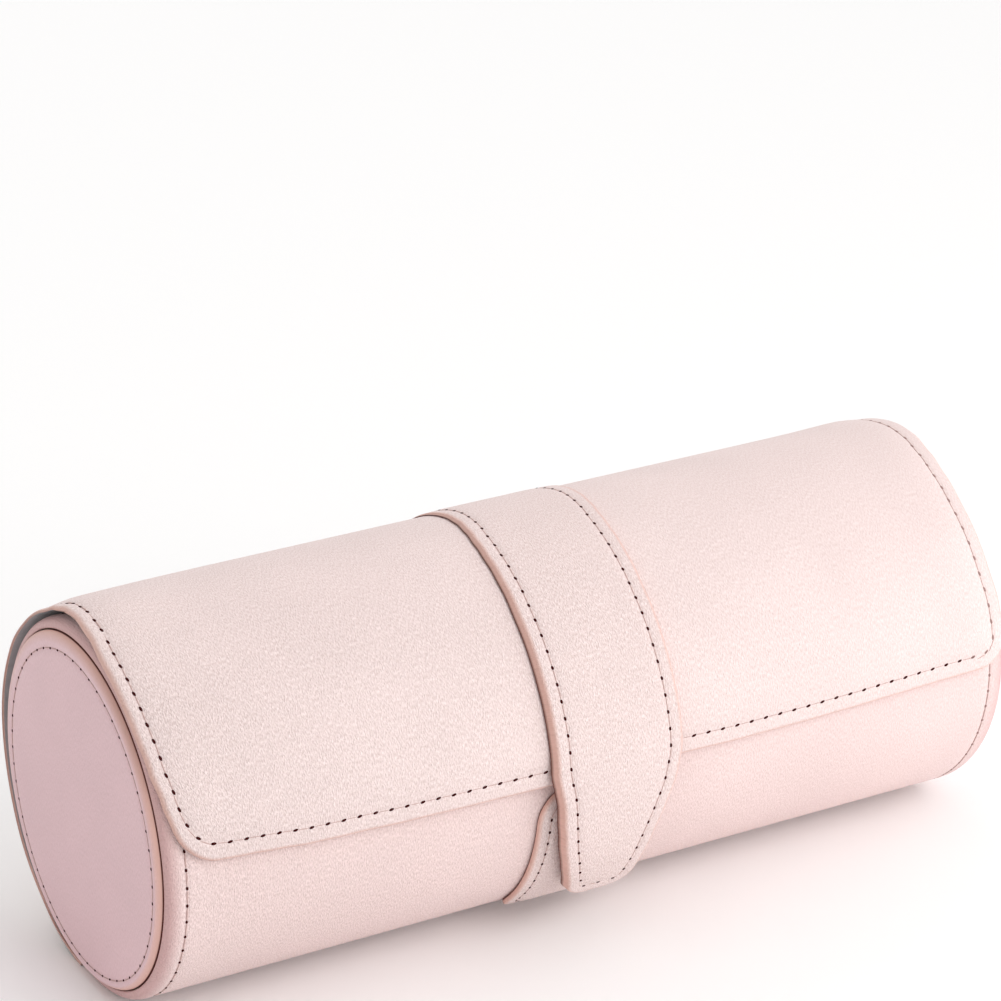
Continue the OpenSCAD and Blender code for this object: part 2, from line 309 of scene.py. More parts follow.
def add_bump(tree, shader, height, strength, distance):
    bump = tree.nodes.new("ShaderNodeBump")
    bump.inputs["Strength"].default_value = strength
    bump.inputs["Distance"].default_value = distance
    link(tree, height, bump.inputs["Height"])
    link(tree, bump.outputs["Normal"], shader.inputs["Normal"])


def tone(rgb, factor=1.0):
    """A colour made lighter or darker, with alpha."""
    return tuple(min(1.0, c * factor) for c in rgb) + (1.0,)


# Tones of the grain's painted shade and painted highlight, each from a dull to a fresh patch of the
# hide
GRAIN_SHADE_TONES, GRAIN_HIGHLIGHT_TONES = (0.87, 0.92), (1.08, 1.13)
# Half the range of grain over which the leather turns from painted grain shade to painted
# highlight, and the grain's height
GRAIN_SHADING_RANGE, GRAIN_HEIGHT = 0.16, 0.3 * MM


def leather_material(name, base, grain, wrinkles, depth, edge_colour, tan_band, painted_shade_band):
    """Satin leather with painted shade and highlight in its grain, turning to its edge colour and
    then to painted shade over bands of edge distance.
    """
    tree, shader = new_material(name)
    group = placed_group(tree, grain, surface_place(tree))
    group.inputs["Wrinkle depth"].default_value = wrinkles
    tint = ranged(tree, group.outputs["Mottle"], 0.3, 0.7, 0.0, 1.0)
    dark, light = (
        mixed_colour(tree, tint, *(tone(base, factor) for factor in tones))
        for tones in (GRAIN_SHADE_TONES, GRAIN_HIGHLIGHT_TONES)
    )
    half = GRAIN_SHADING_RANGE / depth
    grain_shading = ranged(tree, group.outputs["Grain shading"], 0.5 - half, 0.5 + half, 0.0, 1.0)
    # Base colour between the grain's painted shade and its painted highlight
    body = mixed_colour(tree, grain_shading, dark, light)
    # Painted shade in the grain's creases, stronger with deeper grain
    crease_shade = ranged(tree, group.outputs["Pore"], 0.35, 0.62, 0.22 * depth, 0.0)
    body = mixed_colour(tree, crease_shade, body, tone(colours().leather_edge, 0.9))
    edge = tree.nodes.new("ShaderNodeAttribute")
    edge.attribute_name = "edge_distance"
    near = ranged(tree, edge.outputs["Fac"], *tan_band, 0.92, 0.0)
    body = mixed_colour(tree, near, body, tone(edge_colour))
    # Painted shade where the edge distance falls below zero: in the gaps and at the foot of side
    # walls
    deep = ranged(tree, edge.outputs["Fac"], *painted_shade_band, 1.0, 0.0)
    body = mixed_colour(tree, deep, body, tone(colours().painted_gap_shade))
    link(tree, body, shader.inputs["Base Color"])
    rough = ranged(tree, group.outputs["Pore"], 0.3, 0.7, 0.56, 0.44)
    link(tree, rough, shader.inputs["Roughness"])
    shader.inputs["Specular IOR Level"].default_value = 0.42
    add_bump(tree, shader, group.outputs["Height"], 1.0, GRAIN_HEIGHT * depth)


def suede_material(name, nap):
    tree, shader = new_material(name)
    base = tuple(colours().suede)
    group = placed_group(tree, nap, surface_place(tree))
    stroke = ranged(tree, group.outputs["Stroke"], 0.3, 0.7, 0.0, 1.0)
    body = mixed_colour(tree, stroke, tone(base, 0.93), tone(base, 1.06))
    link(tree, body, shader.inputs["Base Color"])
    shader.inputs["Roughness"].default_value = 0.95
    shader.inputs["Specular IOR Level"].default_value = 0.15
    shader.inputs["Sheen Weight"].default_value = 0.35
    add_bump(tree, shader, group.outputs["Height"], 0.5, 0.25 * MM)


def plain_material(name, rgb, roughness, specular=0.5):
    _, shader = new_material(name)
    shader.inputs["Base Color"].default_value = tone(rgb)
    shader.inputs["Roughness"].default_value = roughness
    shader.inputs["Specular IOR Level"].default_value = specular


# Places along the case between which needle holes turn fainter, and how far toward the thread
FAINT_PLACES, FAINT_SHARE = (86 * MM, 93 * MM), 0.6


def hole_material(name):
    """Needle holes in painted shade, fainter in the rows of the right end."""
    tree, shader = new_material(name)
    place = tree.nodes.new("ShaderNodeTexCoord")
    along = tree.nodes.new("ShaderNodeSeparateXYZ")
    link(tree, place.outputs["Object"], along.inputs["Vector"])
    faint = ranged(tree, along.outputs["X"], *FAINT_PLACES, 0.0, FAINT_SHARE)
    dark, thread = tone(colours().needle_hole_shade), tone(colours().thread)
    link(tree, mixed_colour(tree, faint, dark, thread), shader.inputs["Base Color"])
    shader.inputs["Roughness"].default_value = 0.9
    shader.inputs["Specular IOR Level"].default_value = 0.0


class JEWELRYCASE_OT_finishes(bpy.types.Operator):
    """Make the leather, suede and thread materials"""

    bl_idname = "jewelrycase.finishes"
    bl_label = "Finishes"

    def execute(self, context):
        grain, nap, hues = leather_grain(), suede_nap(), colours()
        tan = hues.leather_edge
        # Columns: name, colour, edge colour, wrinkle depth, grain depth, tan band and painted shade
        # band, both bands in edge distance in millimetres
        for name, base, edge, wrinkles, depth, tan_band, painted_shade_band in (
            ("Wrap leather", hues.wrap_leather_shade_tint, hues.wrap_end_shade, 0.9, 0.9, (0.5, 3.4), (-2, -1)),
            ("Sheet leather", hues.leather, tan, 0.35, 1, (0.1, 1), (-0.95, -0.7)),
            ("Strap leather", hues.leather, tan, 0.35, 1.2, (0.1, 1), (-0.95, -0.45)),
            ("End leather", hues.end_leather_shade_tint, tan, 0.1, 0.4, (0.2, 1.7), (-1.2, -0.3)),
        ):
            leather_material(name, base, grain, wrinkles, depth, edge, tan_band, painted_shade_band)
        suede_material("Grey suede", nap)
        plain_material("Thread", hues.thread, 0.7)
        hole_material("Needle hole")
        return {"FINISHED"}


# Building pieces from points


def polar(degrees, radius):
    """Depth and height of a point of the cross-section."""
    turn = math.radians(degrees)
    return -radius * math.sin(turn), sizes().axis_height + radius * math.cos(turn)


def around(x, degrees, radius):
    y, z = polar(degrees, radius)
    return Vector((x, y, z))


def outward(degrees):
    turn = math.radians(degrees)
    return Vector((0, -math.sin(turn), math.cos(turn)))


def add_piece(name, points, faces, uvs, materials, face_materials=None, edges=None, normals=None):
    """A smooth mesh object in the row frame, with its own UV map in metres."""
    mesh = bpy.data.meshes.new(name)
    mesh.from_pydata([tuple(p) for p in points], [], faces)
    layer = mesh.uv_layers.new(name="surface")
    for loop in mesh.loops:
        layer.data[loop.index].uv = uvs[loop.vertex_index]
    for material in materials:
        mesh.materials.append(bpy.data.materials[material])
    if face_materials:
        mesh.polygons.foreach_set("material_index", face_materials)
    mesh.polygons.foreach_set("use_smooth", [True] * len(mesh.polygons))
    if edges:
        attribute = mesh.attributes.new("edge_distance", "FLOAT", "POINT")
        attribute.data.foreach_set("value", edges)
    mesh.update()
    if normals:
        mesh.normals_split_custom_set_from_vertices(normals)
    piece = bpy.data.objects.new(name, mesh)
    bpy.context.scene.collection.objects.link(piece)
    return piece


def settle(piece, node):
    """Let a finished piece stand for a node of the case's body."""
    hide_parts(node)
    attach(piece, BODY)


def ring_pairs(rings, columns):
    """Neighbouring points of every closed ring but the last, where each has as many points."""
    for i in range(rings - 1):
        for j in range(columns):
            yield i * columns + j, i * columns + (j + 1) % columns


def spread(low, high, step):
    """Evenly spaced values from low to high."""
    count = max(1, round((high - low) / step))
    return [low + (high - low) * i / count for i in range(count + 1)]


# Leather strips: flap, strap and tab

# Distances from a strip's edge at which its points are set, in millimetres
EDGE_STEPS = [0, 0.08, 0.2, 0.4, 0.65, 0.95, 1.3, 1.8, 2.3, 2.7, 3, 3.3, 3.7, 4.2, 4.8, 5.8, 7.5]
GROOVE_WIDTH = 0.55 * MM


def ease(low, high, value):
    """Smooth step from 0 to 1 between two values."""
    share = min(1.0, max(0.0, (value - low) / (high - low)))
    return share * share * (3 - 2 * share)


def curve_through(rows, value):
    """Smooth curve through rows of (place, amount)."""
    for (a, low), (b, high) in zip(rows, rows[1:]):
        if value <= b:
            return low + (high - low) * ease(a, b, value)
    return rows[-1][1]


def rounding(distance, radius):
    """How far a rounded edge falls below its face at a distance from the edge."""
    if distance >= radius:
        return 0.0
    return radius - math.sqrt(radius**2 - (radius - distance) ** 2)


class StripGrid(NamedTuple):
    """Points of a strip, odd ones on its inner face, its faces by row, and its rows' angles."""

    points: list
    uvs: list
    edges: list
    normals: list
    faces: list
    angles: list


class Strip:
    """A thick leather strip laid round the case, straight-sided with round corners."""

    corner_start = corner_end = right_corner = 0.0
    open_start = False
    edge_over, edge_under = 0.55 * MM, 0.3 * MM
    press, press_width = 0.0, 5 * MM
    inset = right_inset = 3.1 * MM
    end_inset, groove = 3.7 * MM, 0.25 * MM
    # Share of painted shade at the foot of the side walls, the left wall's flare, and the width
    # over which the shade fades
    base_shade, flare, shade_width = 1.0, 0.0, 0.6 * MM
    across, row_step = 14, 1.2 * MM

    def __init__(self, start, end, half_width, middle, inner, outer):
        self.start = start
        self.half_width, self.middle = half_width, middle
        self.inner, self.outer = inner, outer
        self.total = self.run_at(end)

    def run_at(self, degrees):
        """Run along the outer face from the start to an angle."""
        return math.radians(degrees - self.start) * self.outer

    def angle_at(self, run):
        return self.start + math.degrees(run / self.outer)

    def turn(self, x, run):
        """Angle round the case at a place of the strip."""
        return self.angle_at(run)

    def reach(self, x, run):
        """Place along the case of a place across the strip."""
        return x

    def faces_at(self, x, degrees):
        """Inner and outer radius away from the edges."""
        return self.inner, self.outer

    def side_at(self, run):
        """Half the width between the straight sides."""
        return self.half_width

    def ends(self, run, right):
        """Corner radius and distance of both ends, on the right or the left."""
        rows = [(self.right_corner if right else self.corner_end, self.total - run)]
        return rows if self.open_start else rows + [(self.corner_start, run)]

    def half_at(self, run, right):
        """Half width on the right or the left, with round corners."""
        half = self.side_at(run)
        for corner, gap in self.ends(run, right):
            half -= rounding(max(0.0, gap), corner)
        return half

    def inward(self, x, run, side_inset=0.0, end_inset=0.0):
        """Distance inward from the outline, or from a line inset from it."""
        side = self.side_at(run) - abs(x - self.middle) - side_inset
        distance = side
        for corner, gap in self.ends(run, x > self.middle):
            corner, gap = max(0.0, corner - side_inset), gap - end_inset
            if side < corner and gap < corner:
                gap = corner - math.hypot(corner - side, corner - gap)
            distance = min(distance, gap)
        return distance

    def row_distance(self, x, run):
        """Distance inward from the stitch row, negative outside it."""
        inset = self.right_inset if x > self.middle else self.inset
        return self.inward(x, run, inset, self.end_inset)

    def radii(self, x, run):
        """Inner and outer radius with rounded edges and the stitch groove, and edge distance."""
        distance = max(0.0, self.inward(x, run))
        inner, outer = self.faces_at(x, self.angle_at(run))
        thickness = outer - inner
        dent = self.groove * math.exp(-((self.row_distance(x, run) / GROOVE_WIDTH) ** 2))
        outer -= rounding(distance, min(self.edge_over, 0.45 * thickness))
        pressed = self.press * (1 - ease(0, self.press_width, distance))
        outer -= dent * min(1.0, thickness / MM) + pressed
        inner += rounding(distance, min(self.edge_under, 0.3 * thickness))
        return inner, outer, distance

    def runs(self):
        """Runs of the rows, close together near the ends."""
        near = [d * MM for d in EDGE_STEPS]
        first = [0.0] if self.open_start else near
        last = [self.total - d for d in reversed(near)]
        return first + spread(first[-1], last[0], self.row_step)[1:-1] + last

    def offsets(self):
        """Places across a row as shares of its half width, close together near both sides."""
        near = [d * MM / self.half_width - 1 for d in EDGE_STEPS if d * MM < 0.8 * self.half_width]
        return near + spread(near[-1], -near[-1], -2 * near[-1] / self.across)[1:-1] + [
            -v for v in reversed(near)
        ]

    def grid(self):
        """The whole strip before it is cut into lengths."""
        runs, shares = self.runs(), self.offsets()
        points, uvs, edges = [], [], []
        for run in runs:
            halves = self.half_at(run, False), self.half_at(run, True)
            for share in shares:
                x = self.middle + share * halves[share > 0]
                inner, outer, distance = self.radii(x, run)
                near = 1 - ease(0, self.shade_width, distance)
                spill = -self.flare * near if share < 0 else 0.0
                # Inner points near the outline get a lower edge distance, which the leather turns
                # into painted shade
                for radius, out, dark in ((outer, 0, 0), (inner, spill, self.base_shade * near)):
                    point = around(self.reach(x, run) + out, self.turn(x, run), radius)
                    point.z = max(point.z, 0.0)
                    points.append(point)
                    uvs.append((x, run - self.run_at(0)))
                    edges.append(distance / MM - dark)
        width, last = 2 * len(shares), 2 * len(shares) - 2
        faces = []
        for i in range(len(runs) - 1):
            row, after = i * width, (i + 1) * width
            for j in range(0, last, 2):
                a, b, c, d = row + j, row + j + 2, after + j + 2, after + j
                faces += [(i, (a, d, c, b)), (i, (a + 1, b + 1, c + 1, d + 1))]
            faces.append((i, (row, row + 1, after + 1, after)))
            faces.append((i, (row + last, after + last, after + last + 1, row + last + 1)))
        end = (len(runs) - 1) * width
        for j in range(0, last, 2):
            if not self.open_start:
                faces.append((0, (j, j + 2, j + 3, j + 1)))
            faces.append((len(runs) - 2, (end + j, end + j + 1, end + j + 3, end + j + 2)))
        normals = whole_normals(points, [face for _, face in faces])
        return StripGrid(points, uvs, edges, normals, faces, [self.angle_at(run) for run in runs])


class Flap(Strip):
    """The flap leaves the wrap low at the back and lies round the case."""

    open_start = True
    edge_over, edge_under = 1.1 * MM, 0.35 * MM
    press, press_width = 0.9 * MM, 9 * MM
    inset, right_inset, end_inset, across = 2.85 * MM, 3.6 * MM, 3.9 * MM, 90
    base_shade = 0.0
    lift_angle, root_draw = STRIP_EDGES[0], 0.3 * MM
    # How far in from the left and right edge their rise fades out
    left_width, right_width = 18 * MM, 14 * MM
    # Stand-off of the left and right edge in millimetres, by angle round the case
    left_lift = [
        (-180, 0), (-150, 0.2), (-118, 0.65), (-85, 0.8), (-58, 0.1), (-42, -0.4),
        (-24, -0.4), (-16, 0.4), (-8, 1.2), (0, 1.4), (7, 0.8), (16, 0), (180, 0),
    ]
    right_lift = [(-180, 0), (-60, 0), (-30, 0.5), (-6, 0.5), (20, 0), (180, 0)]
    # How much thinner the flap is at its left edge in millimetres, by angle
    left_thin = [
        (-180, 0), (-150, 0.2), (-118, 0.8), (-70, 1.0), (-25, 1.0), (-5, 0.4), (8, 0), (180, 0),
    ]
    # How far the left and right edge stray along the case in millimetres, by angle
    left_reach = [
        (-180, 0), (-5, 0.4), (8, 0.2), (22, -0.5), (32, -0.65), (42, -0.6), (56, -0.1),
        (66, 0.9), (75, 2.0), (90, 2.6), (180, 2.6),
    ]
    right_reach = [
        (-180, 0.4), (-60, 0.9), (-8, 1.0), (2, 0.5), (13, -0.5), (23, -1.4), (36, -2.0),
        (56, -2.0), (66, -1.5), (180, -1.5),
    ]
    # How the front edge swings, in degrees, by place along the case in millimetres
    front_swing = [
        (-101, -3.0), (-92, -2.5), (-84, -1.9), (-78, -1.2), (-70, -0.3), (-62, 0.05),
        (-46, 0.75), (-33, 1.15), (-16, 1.5), (17, 2.1), (30, 2.45), (45, 2.35), (58, 2.0),
        (71, 1.5), (79, 1.1), (86, 0.8), (101, 0.3),
    ]

    def reach(self, x, run):
        """Place along the case, with the left and right edge straying."""
        share = x / self.half_width
        rows = self.right_reach if share > 0 else self.left_reach
        return x + share**4 * curve_through(rows, self.angle_at(run)) * MM

    def turn(self, x, run):
        degrees = self.angle_at(run)
        return degrees + curve_through(self.front_swing, x / MM) * ease(40, 80, degrees)

    def side_at(self, run):
        root = 1 - ease(FLAP_ROOT, self.lift_angle, self.angle_at(run))
        return self.half_width - self.root_draw * root

    def faces_at(self, x, degrees):
        inner, outer = self.inner, self.outer
        wrap = sizes().case_radius
        outer = wrap + (outer - wrap) * ease(FLAP_ROOT - 6, self.lift_angle + 22, degrees)
        inner = min(max(outer - (self.outer - inner), wrap + 0.1 * MM), outer - 0.02 * MM)
        left = math.exp(-(((x + self.half_width) / self.left_width) ** 2))
        right = math.exp(-(((x - self.half_width) / self.right_width) ** 2))
        inner += left**4 * curve_through(self.left_thin, degrees) * MM
        rise = left * curve_through(self.left_lift, degrees)
        rise += right * curve_through(self.right_lift, degrees)
        return inner + rise * MM, outer + rise * MM


class Strap(Strip):
    """The strap is thin behind the case, thicker in front, and tapers to a blunt tip."""

    taper_angle, tip_half, side_bow = 83.0, 6.8 * MM, 0.01
    edge_over, edge_under, press, flare = 0.75 * MM, 0.3 * MM, 0.15 * MM, 0.7 * MM
    # How far the strap strays along the case in millimetres, by angle
    sway = [
        (-180, 3.6), (-12, 3.6), (-4, 3.2), (3, 2.5), (10, 1.75), (18, 1.2), (28, 0.75),
        (40, 0.3), (60, 0.1), (75, 0.05), (90, -0.35), (100, -1.2), (106, -1.55), (114, -1.3),
        (122, -0.8), (135, -0.5),
    ]

    def reach(self, x, run):
        return x + curve_through(self.sway, self.angle_at(run)) * MM

    def side_at(self, run):
        taper = self.run_at(self.taper_angle)
        share = max(0.0, (run - taper) / (self.total - taper))
        bow = self.side_bow * self.half_width * math.sin(math.pi * share)
        return self.half_width + (self.tip_half - self.half_width) * share + bow

    def faces_at(self, x, degrees):
        s = sizes()
        middle = (s.strap_thickness + s.strap_back_thickness) / 2
        swing = (s.strap_thickness - s.strap_back_thickness) / 2
        lean = math.cos(math.radians(degrees) - s.strap_thick_angle)
        return self.inner, self.inner + middle + swing * lean


def whole_normals(points, faces):
    """Vertex normals of a strip before it is cut into lengths."""
    mesh = bpy.data.meshes.new("whole strip")
    mesh.from_pydata([tuple(p) for p in points], [], faces)
    mesh.update()
    normals = [tuple(n.vector) for n in mesh.vertex_normals]
    bpy.data.meshes.remove(mesh)
    return normals


def nearest(values, wanted):
    """Index of the value closest to a wanted one."""
    return min(range(len(values)), key=lambda i: abs(values[i] - wanted))


def strip_piece(name, grid, start, end, leather, lining_margin=None):
    """One length of a strip between two angles, as its own piece."""
    first, last = nearest(grid.angles, start), nearest(grid.angles, end)
    kept, index, faces, slots = [], {}, [], []
    for row, face in grid.faces:
        if not first <= row < last:
            continue
        for corner in face:
            if corner not in index:
                index[corner] = len(kept)
                kept.append(corner)
        faces.append(tuple(index[c] for c in face))
        lined = lining_margin is not None and all(c % 2 for c in face)
        slots.append(1 if lined and min(grid.edges[c] for c in face) >= lining_margin else 0)
    points, uvs, edges, normals = (
        [values[i] for i in kept] for values in (grid.points, grid.uvs, grid.edges, grid.normals)
    )
    materials = [leather, "Grey suede"] if 1 in slots else [leather]
    return add_piece(name, points, faces, uvs, materials, slots, edges, normals)


class Length(NamedTuple):
    """A length of a strip between two angles, the bodies it joins and the nodes it stands for."""

    start: float
    end: float
    first: str
    second: str = ""
    bend: tuple = ()
    nodes: tuple = ()


def flap_nodes(i):
    return f"flap_leather_{i}", f"flap_lining_{i}"


def fold_length(i):
    """The length of the flap across the fold between two strips."""
    start, end = STRIP_MIDDLES[i - 2 : i]
    return Length(start, end, f"flap_{i - 1}", f"flap_{i}", (), flap_nodes(i))


FLAP_ROOT, FLAP_FRONT = -171.5, STRIP_EDGES[-1]
FLAP_LENGTHS = [
    Length(FLAP_ROOT, STRIP_MIDDLES[0], BODY, "flap_1", (-163, -137), flap_nodes(1)),
    *(fold_length(i) for i in range(2, 7)),
    Length(STRIP_MIDDLES[5], FLAP_FRONT, "flap_6"),
]
STRAP_BACK, STRAP_HINGE, STRAP_CURL, STRAP_TIP = -106, STRIP_EDGES[5], 66, 129.5
STRAP_LENGTHS = [
    Length(
        STRAP_BACK, STRIP_MIDDLES[2], "flap_2", "flap_3", tuple(STRIP_MIDDLES[1:3]), ("strap_2",)
    ),
    Length(STRIP_MIDDLES[2], STRIP_MIDDLES[3], "flap_3", "flap_4", (), ("strap_3",)),
    Length(STRIP_MIDDLES[3], STRIP_MIDDLES[4], "flap_4", "flap_5", (), ("strap_4",)),
    Length(STRIP_MIDDLES[4], STRAP_HINGE, "flap_5", "flap_6", (41, STRAP_HINGE), ("strap_5",)),
    Length(
        STRAP_HINGE, STRAP_CURL, "flap_6", "strap_free", (STRAP_HINGE, 52), ("strap_front",)
    ),
    Length(STRAP_CURL, STRAP_TIP, "strap_free", "strap_end", (70, 96), ("strap_tip",)),
]
TAB_TOP, TAB_FOOT = 88.5, 152
# Gap between strap or tab and what lies under it
LAY_GAP = 0.03 * MM


def make_flap():
    s = sizes()
    strip = Flap(FLAP_ROOT, FLAP_FRONT, s.flap_length / 2, 0.0, s.flap_inner, s.flap_outer)
    strip.corner_end, strip.right_corner = s.flap_corner, 7 * MM
    return strip


def make_strap():
    s = sizes()
    inner = s.flap_outer + LAY_GAP
    outer = inner + s.strap_thickness
    strip = Strap(STRAP_BACK, STRAP_TIP, s.strap_width / 2, s.strap_offset, inner, outer)
    strip.corner_start, strip.corner_end, strip.right_corner = 6 * MM, 4.5 * MM, 4.5 * MM
    return strip


def make_tab():
    s = sizes()
    inner = s.case_radius + LAY_GAP
    outer = s.case_radius + s.tab_thickness
    strip = Strip(TAB_TOP, TAB_FOOT, s.tab_width / 2, s.tab_offset, inner, outer)
    strip.corner_start, strip.corner_end, strip.right_corner = 8 * MM, 10 * MM, 10 * MM
    strip.inset = strip.right_inset = strip.end_inset = 2.8 * MM
    strip.press = 0.3 * MM
    return strip


def move_with(piece, part):
    """Let a piece ride on one body; a piece that joins two bodies only has its transform baked into
    its points.
    """
    if not part.second:
        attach(piece, part.first)
        return
    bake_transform(piece)


def lay_lengths(name, strip, lengths, leather, lining_margin=None):
    """Cut a strip into lengths and pass each to move_with."""
    grid = strip.grid()
    for count, part in enumerate(lengths, 1):
        piece = strip_piece(f"{name}_{count}", grid, part.start, part.end, leather, lining_margin)
        if part.nodes:
            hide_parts(*part.nodes)
        move_with(piece, part)


class JEWELRYCASE_OT_flap(bpy.types.Operator):
    """Lay the lined leather flap over the case, in lengths between the strips"""

    bl_idname = "jewelrycase.flap"
    bl_label = "Flap"

    def execute(self, context):
        lay_lengths("flap_length", make_flap(), FLAP_LENGTHS, "Sheet leather", 0.35)
        return {"FINISHED"}


class JEWELRYCASE_OT_strap(bpy.types.Operator):
    """Lay the tapered strap over the flap, in lengths"""

    bl_idname = "jewelrycase.strap"
    bl_label = "Strap"

    def execute(self, context):
        lay_lengths("strap_length", make_strap(), STRAP_LENGTHS, "Strap leather")
        return {"FINISHED"}


class JEWELRYCASE_OT_tab(bpy.types.Operator):
    """Sew the closure tab on the front of the case"""

    bl_idname = "jewelrycase.tab"
    bl_label = "Closure tab"

    def execute(self, context):
        grid = make_tab().grid()
        piece = strip_piece("closure_tab_leather", grid, TAB_TOP, TAB_FOOT, "Strap leather")
        settle(piece, "closure_tab")
        return {"FINISHED"}


# Tube covering

# Steps round and along the sleeves of leather and suede
SLEEVE_TURN, SLEEVE_STEP = 2, 2 * MM


def mouth_edges():
    """Angles of the mouth's back and front edge, in degrees."""
    return math.degrees(sizes().mouth_back), math.degrees(sizes().mouth_front)


def sleeve(profile):
    """Points, faces and UVs of a sleeve given as (x, radius) rings, left open at the mouth."""
    s = sizes()
    back, front = mouth_edges()
    open_turns = spread(back, front, SLEEVE_TURN)[:-1]
    turns = open_turns + spread(front, back + 360, SLEEVE_TURN)
    points, uvs, faces = [], [], []
    for x, ring in profile:
        for turn in turns:
            points.append(around(x, turn, ring))
            uvs.append((x, math.radians(turn) * s.case_radius))
    width = len(turns)
    for i in range(len(profile) - 1):
        middle = (profile[i][0] + profile[i + 1][0]) / 2
        first = len(open_turns) if abs(middle) < s.mouth_half else 0
        for a in range(i * width + first, (i + 1) * width - 1):
            faces.append((a, a + 1, a + width + 1, a + width))
    return points, faces, uvs


# Distance of the wrap's stitch row from each end, depth of its groove, and steps across it
SEAM_INSET, SEAM_GROOVE = 4.1 * MM, 0.22 * MM
SEAM_STEPS = [v * MM for v in (-1.2, -0.8, -0.5, -0.25, 0, 0.25, 0.5, 0.8, 1.2, 2.4, 4, 6, 8)]
# Gap between an end cover and the wrap's turned-in edge
COVER_GAP = 0.22 * MM
# Turned edge of the mouth: steps toward the mouth and out from the wrap's face, in millimetres
HEM = [
    (0, 0), (0.45, -0.22), (0.8, -0.95), (0.9, -2.2), (0.7, -3.5), (0.1, -4.4), (-1.0, -4.65),
    (-3, -4.7),
]
# Edge distance that gives the wrap painted shade in the gap at the end covers
GAP_SHADE_EDGE = -2


def hem():
    """Leather turned over the edge of the mouth, as one closed band."""
    back, front = mouth_edges()
    half, radius = sizes().mouth_half, sizes().case_radius
    runs = spread(-half, half, SLEEVE_STEP)[1:-1]
    turns = spread(back, front, SLEEVE_TURN)[1:-1]
    loop = [(-half, front, (1, -1))] + [(x, front, (0, -1)) for x in runs]
    loop += [(half, front, (-1, -1))] + [(half, t, (-1, 0)) for t in reversed(turns)]
    loop += [(half, back, (-1, 1))] + [(x, back, (0, 1)) for x in reversed(runs)]
    loop += [(-half, back, (1, 1))] + [(-half, t, (1, 0)) for t in turns]
    points, uvs, faces = [], [], []
    for x, turn, toward in loop:
        for step, rise in HEM:
            shift = step * MM
            place = turn + toward[1] * math.degrees(shift / radius)
            points.append(around(x + toward[0] * shift, place, radius + rise * MM))
            uvs.append((x + rise * MM, math.radians(turn) * radius + rise * MM))
    width = len(HEM)
    for i in range(len(loop)):
        for j in range(width - 1):
            a, b = i * width + j, ((i + 1) % len(loop)) * width + j
            faces.append((a, a + 1, b + 1, b))
    return points, faces, uvs


class JEWELRYCASE_OT_wrap(bpy.types.Operator):
    """Cover the tube with leather, turned over both ends and the mouth's edge"""

    bl_idname = "jewelrycase.wrap"
    bl_label = "Body wrap"

    def execute(self, context):
        s = sizes()
        middle = [(x, s.case_radius) for x in spread(-s.mouth_half, s.mouth_half, SLEEVE_STEP)]
        end = self.end_profile()
        profile = [(-x, r) for x, r in end] + middle + end[::-1]
        points, faces, uvs = sleeve(profile)
        sleeve_points = len(points)
        hem_points, hem_faces, hem_uvs = hem()
        points += hem_points
        uvs += hem_uvs
        faces += [tuple(c + sleeve_points for c in face) for face in hem_faces]
        edges = []
        for point in points:
            point.z = max(point.z, 0.0)
            edges.append((s.case_length / 2 - abs(point.x)) / MM)
        # The first and the last two rings lie in the gap and take painted shade
        for i in range(2 * sleeve_points // len(profile)):
            edges[i] = edges[sleeve_points - 1 - i] = GAP_SHADE_EDGE
        piece = add_piece("body_wrap_leather", points, faces, uvs, ["Wrap leather"], None, edges)
        settle(piece, "body_wrap")
        return {"FINISHED"}

    def end_profile(self):
        """Rings from the gap at the end cover, round the turned edge, to the mouth's end."""
        s = sizes()
        half, radius, lip = s.case_length / 2, s.case_radius, s.end_radius + COVER_GAP
        rings = [(half - 2.5 * MM, lip), (half - 1.2 * MM, lip)]
        for deep, high, middle, leans in (
            (0.3 * MM, 0.3 * MM, lip + 0.3 * MM, spread(-90, 0, 30)),
            (2.7 * MM, 1.9 * MM, radius - 1.9 * MM, spread(0, 90, 10)),
        ):
            for lean in leans:
                out, up = math.cos(math.radians(lean)), math.sin(math.radians(lean))
                rings.append((half - deep + deep * out, middle + high * up))
        for step in SEAM_STEPS:
            dent = SEAM_GROOVE * math.exp(-((step / GROOVE_WIDTH) ** 2))
            rings.append((half - SEAM_INSET - step, radius - dent))
        return [ring for ring in rings if ring[0] > s.mouth_half + 0.5 * MM]


# Distance of the end linings from the ends of the tube
LINING_INSET = 4.55 * MM


class JEWELRYCASE_OT_lining(bpy.types.Operator):
    """Line the tube and its ends with suede"""

    bl_idname = "jewelrycase.lining"
    bl_label = "Suede lining"

    def execute(self, context):
        s = sizes()
        half, mouth = s.case_length / 2 - LINING_INSET, s.mouth_half
        end = spread(mouth + SLEEVE_STEP, half, SLEEVE_STEP)
        places = [-x for x in reversed(end)] + spread(-mouth, mouth, SLEEVE_STEP) + end
        points, faces, uvs = sleeve([(x, s.lining_radius) for x in places])
        self.line("tube_suede", "tube_lining", points, faces, uvs)
        rings = [(r, half) for r in spread(0.5 * MM, s.lining_radius, 2.5 * MM)]
        for label, side in ENDS:
            disc = turned_disc(rings, side, 96)
            self.line(f"end_suede_{label}", f"end_lining_{label}", *disc)
        return {"FINISHED"}

    def line(self, name, node, points, faces, uvs):
        """Suede that faces the inside of the case."""
        faces = [tuple(reversed(face)) for face in faces]
        piece = add_piece(name, points, faces, uvs, ["Grey suede"])
        settle(piece, node)


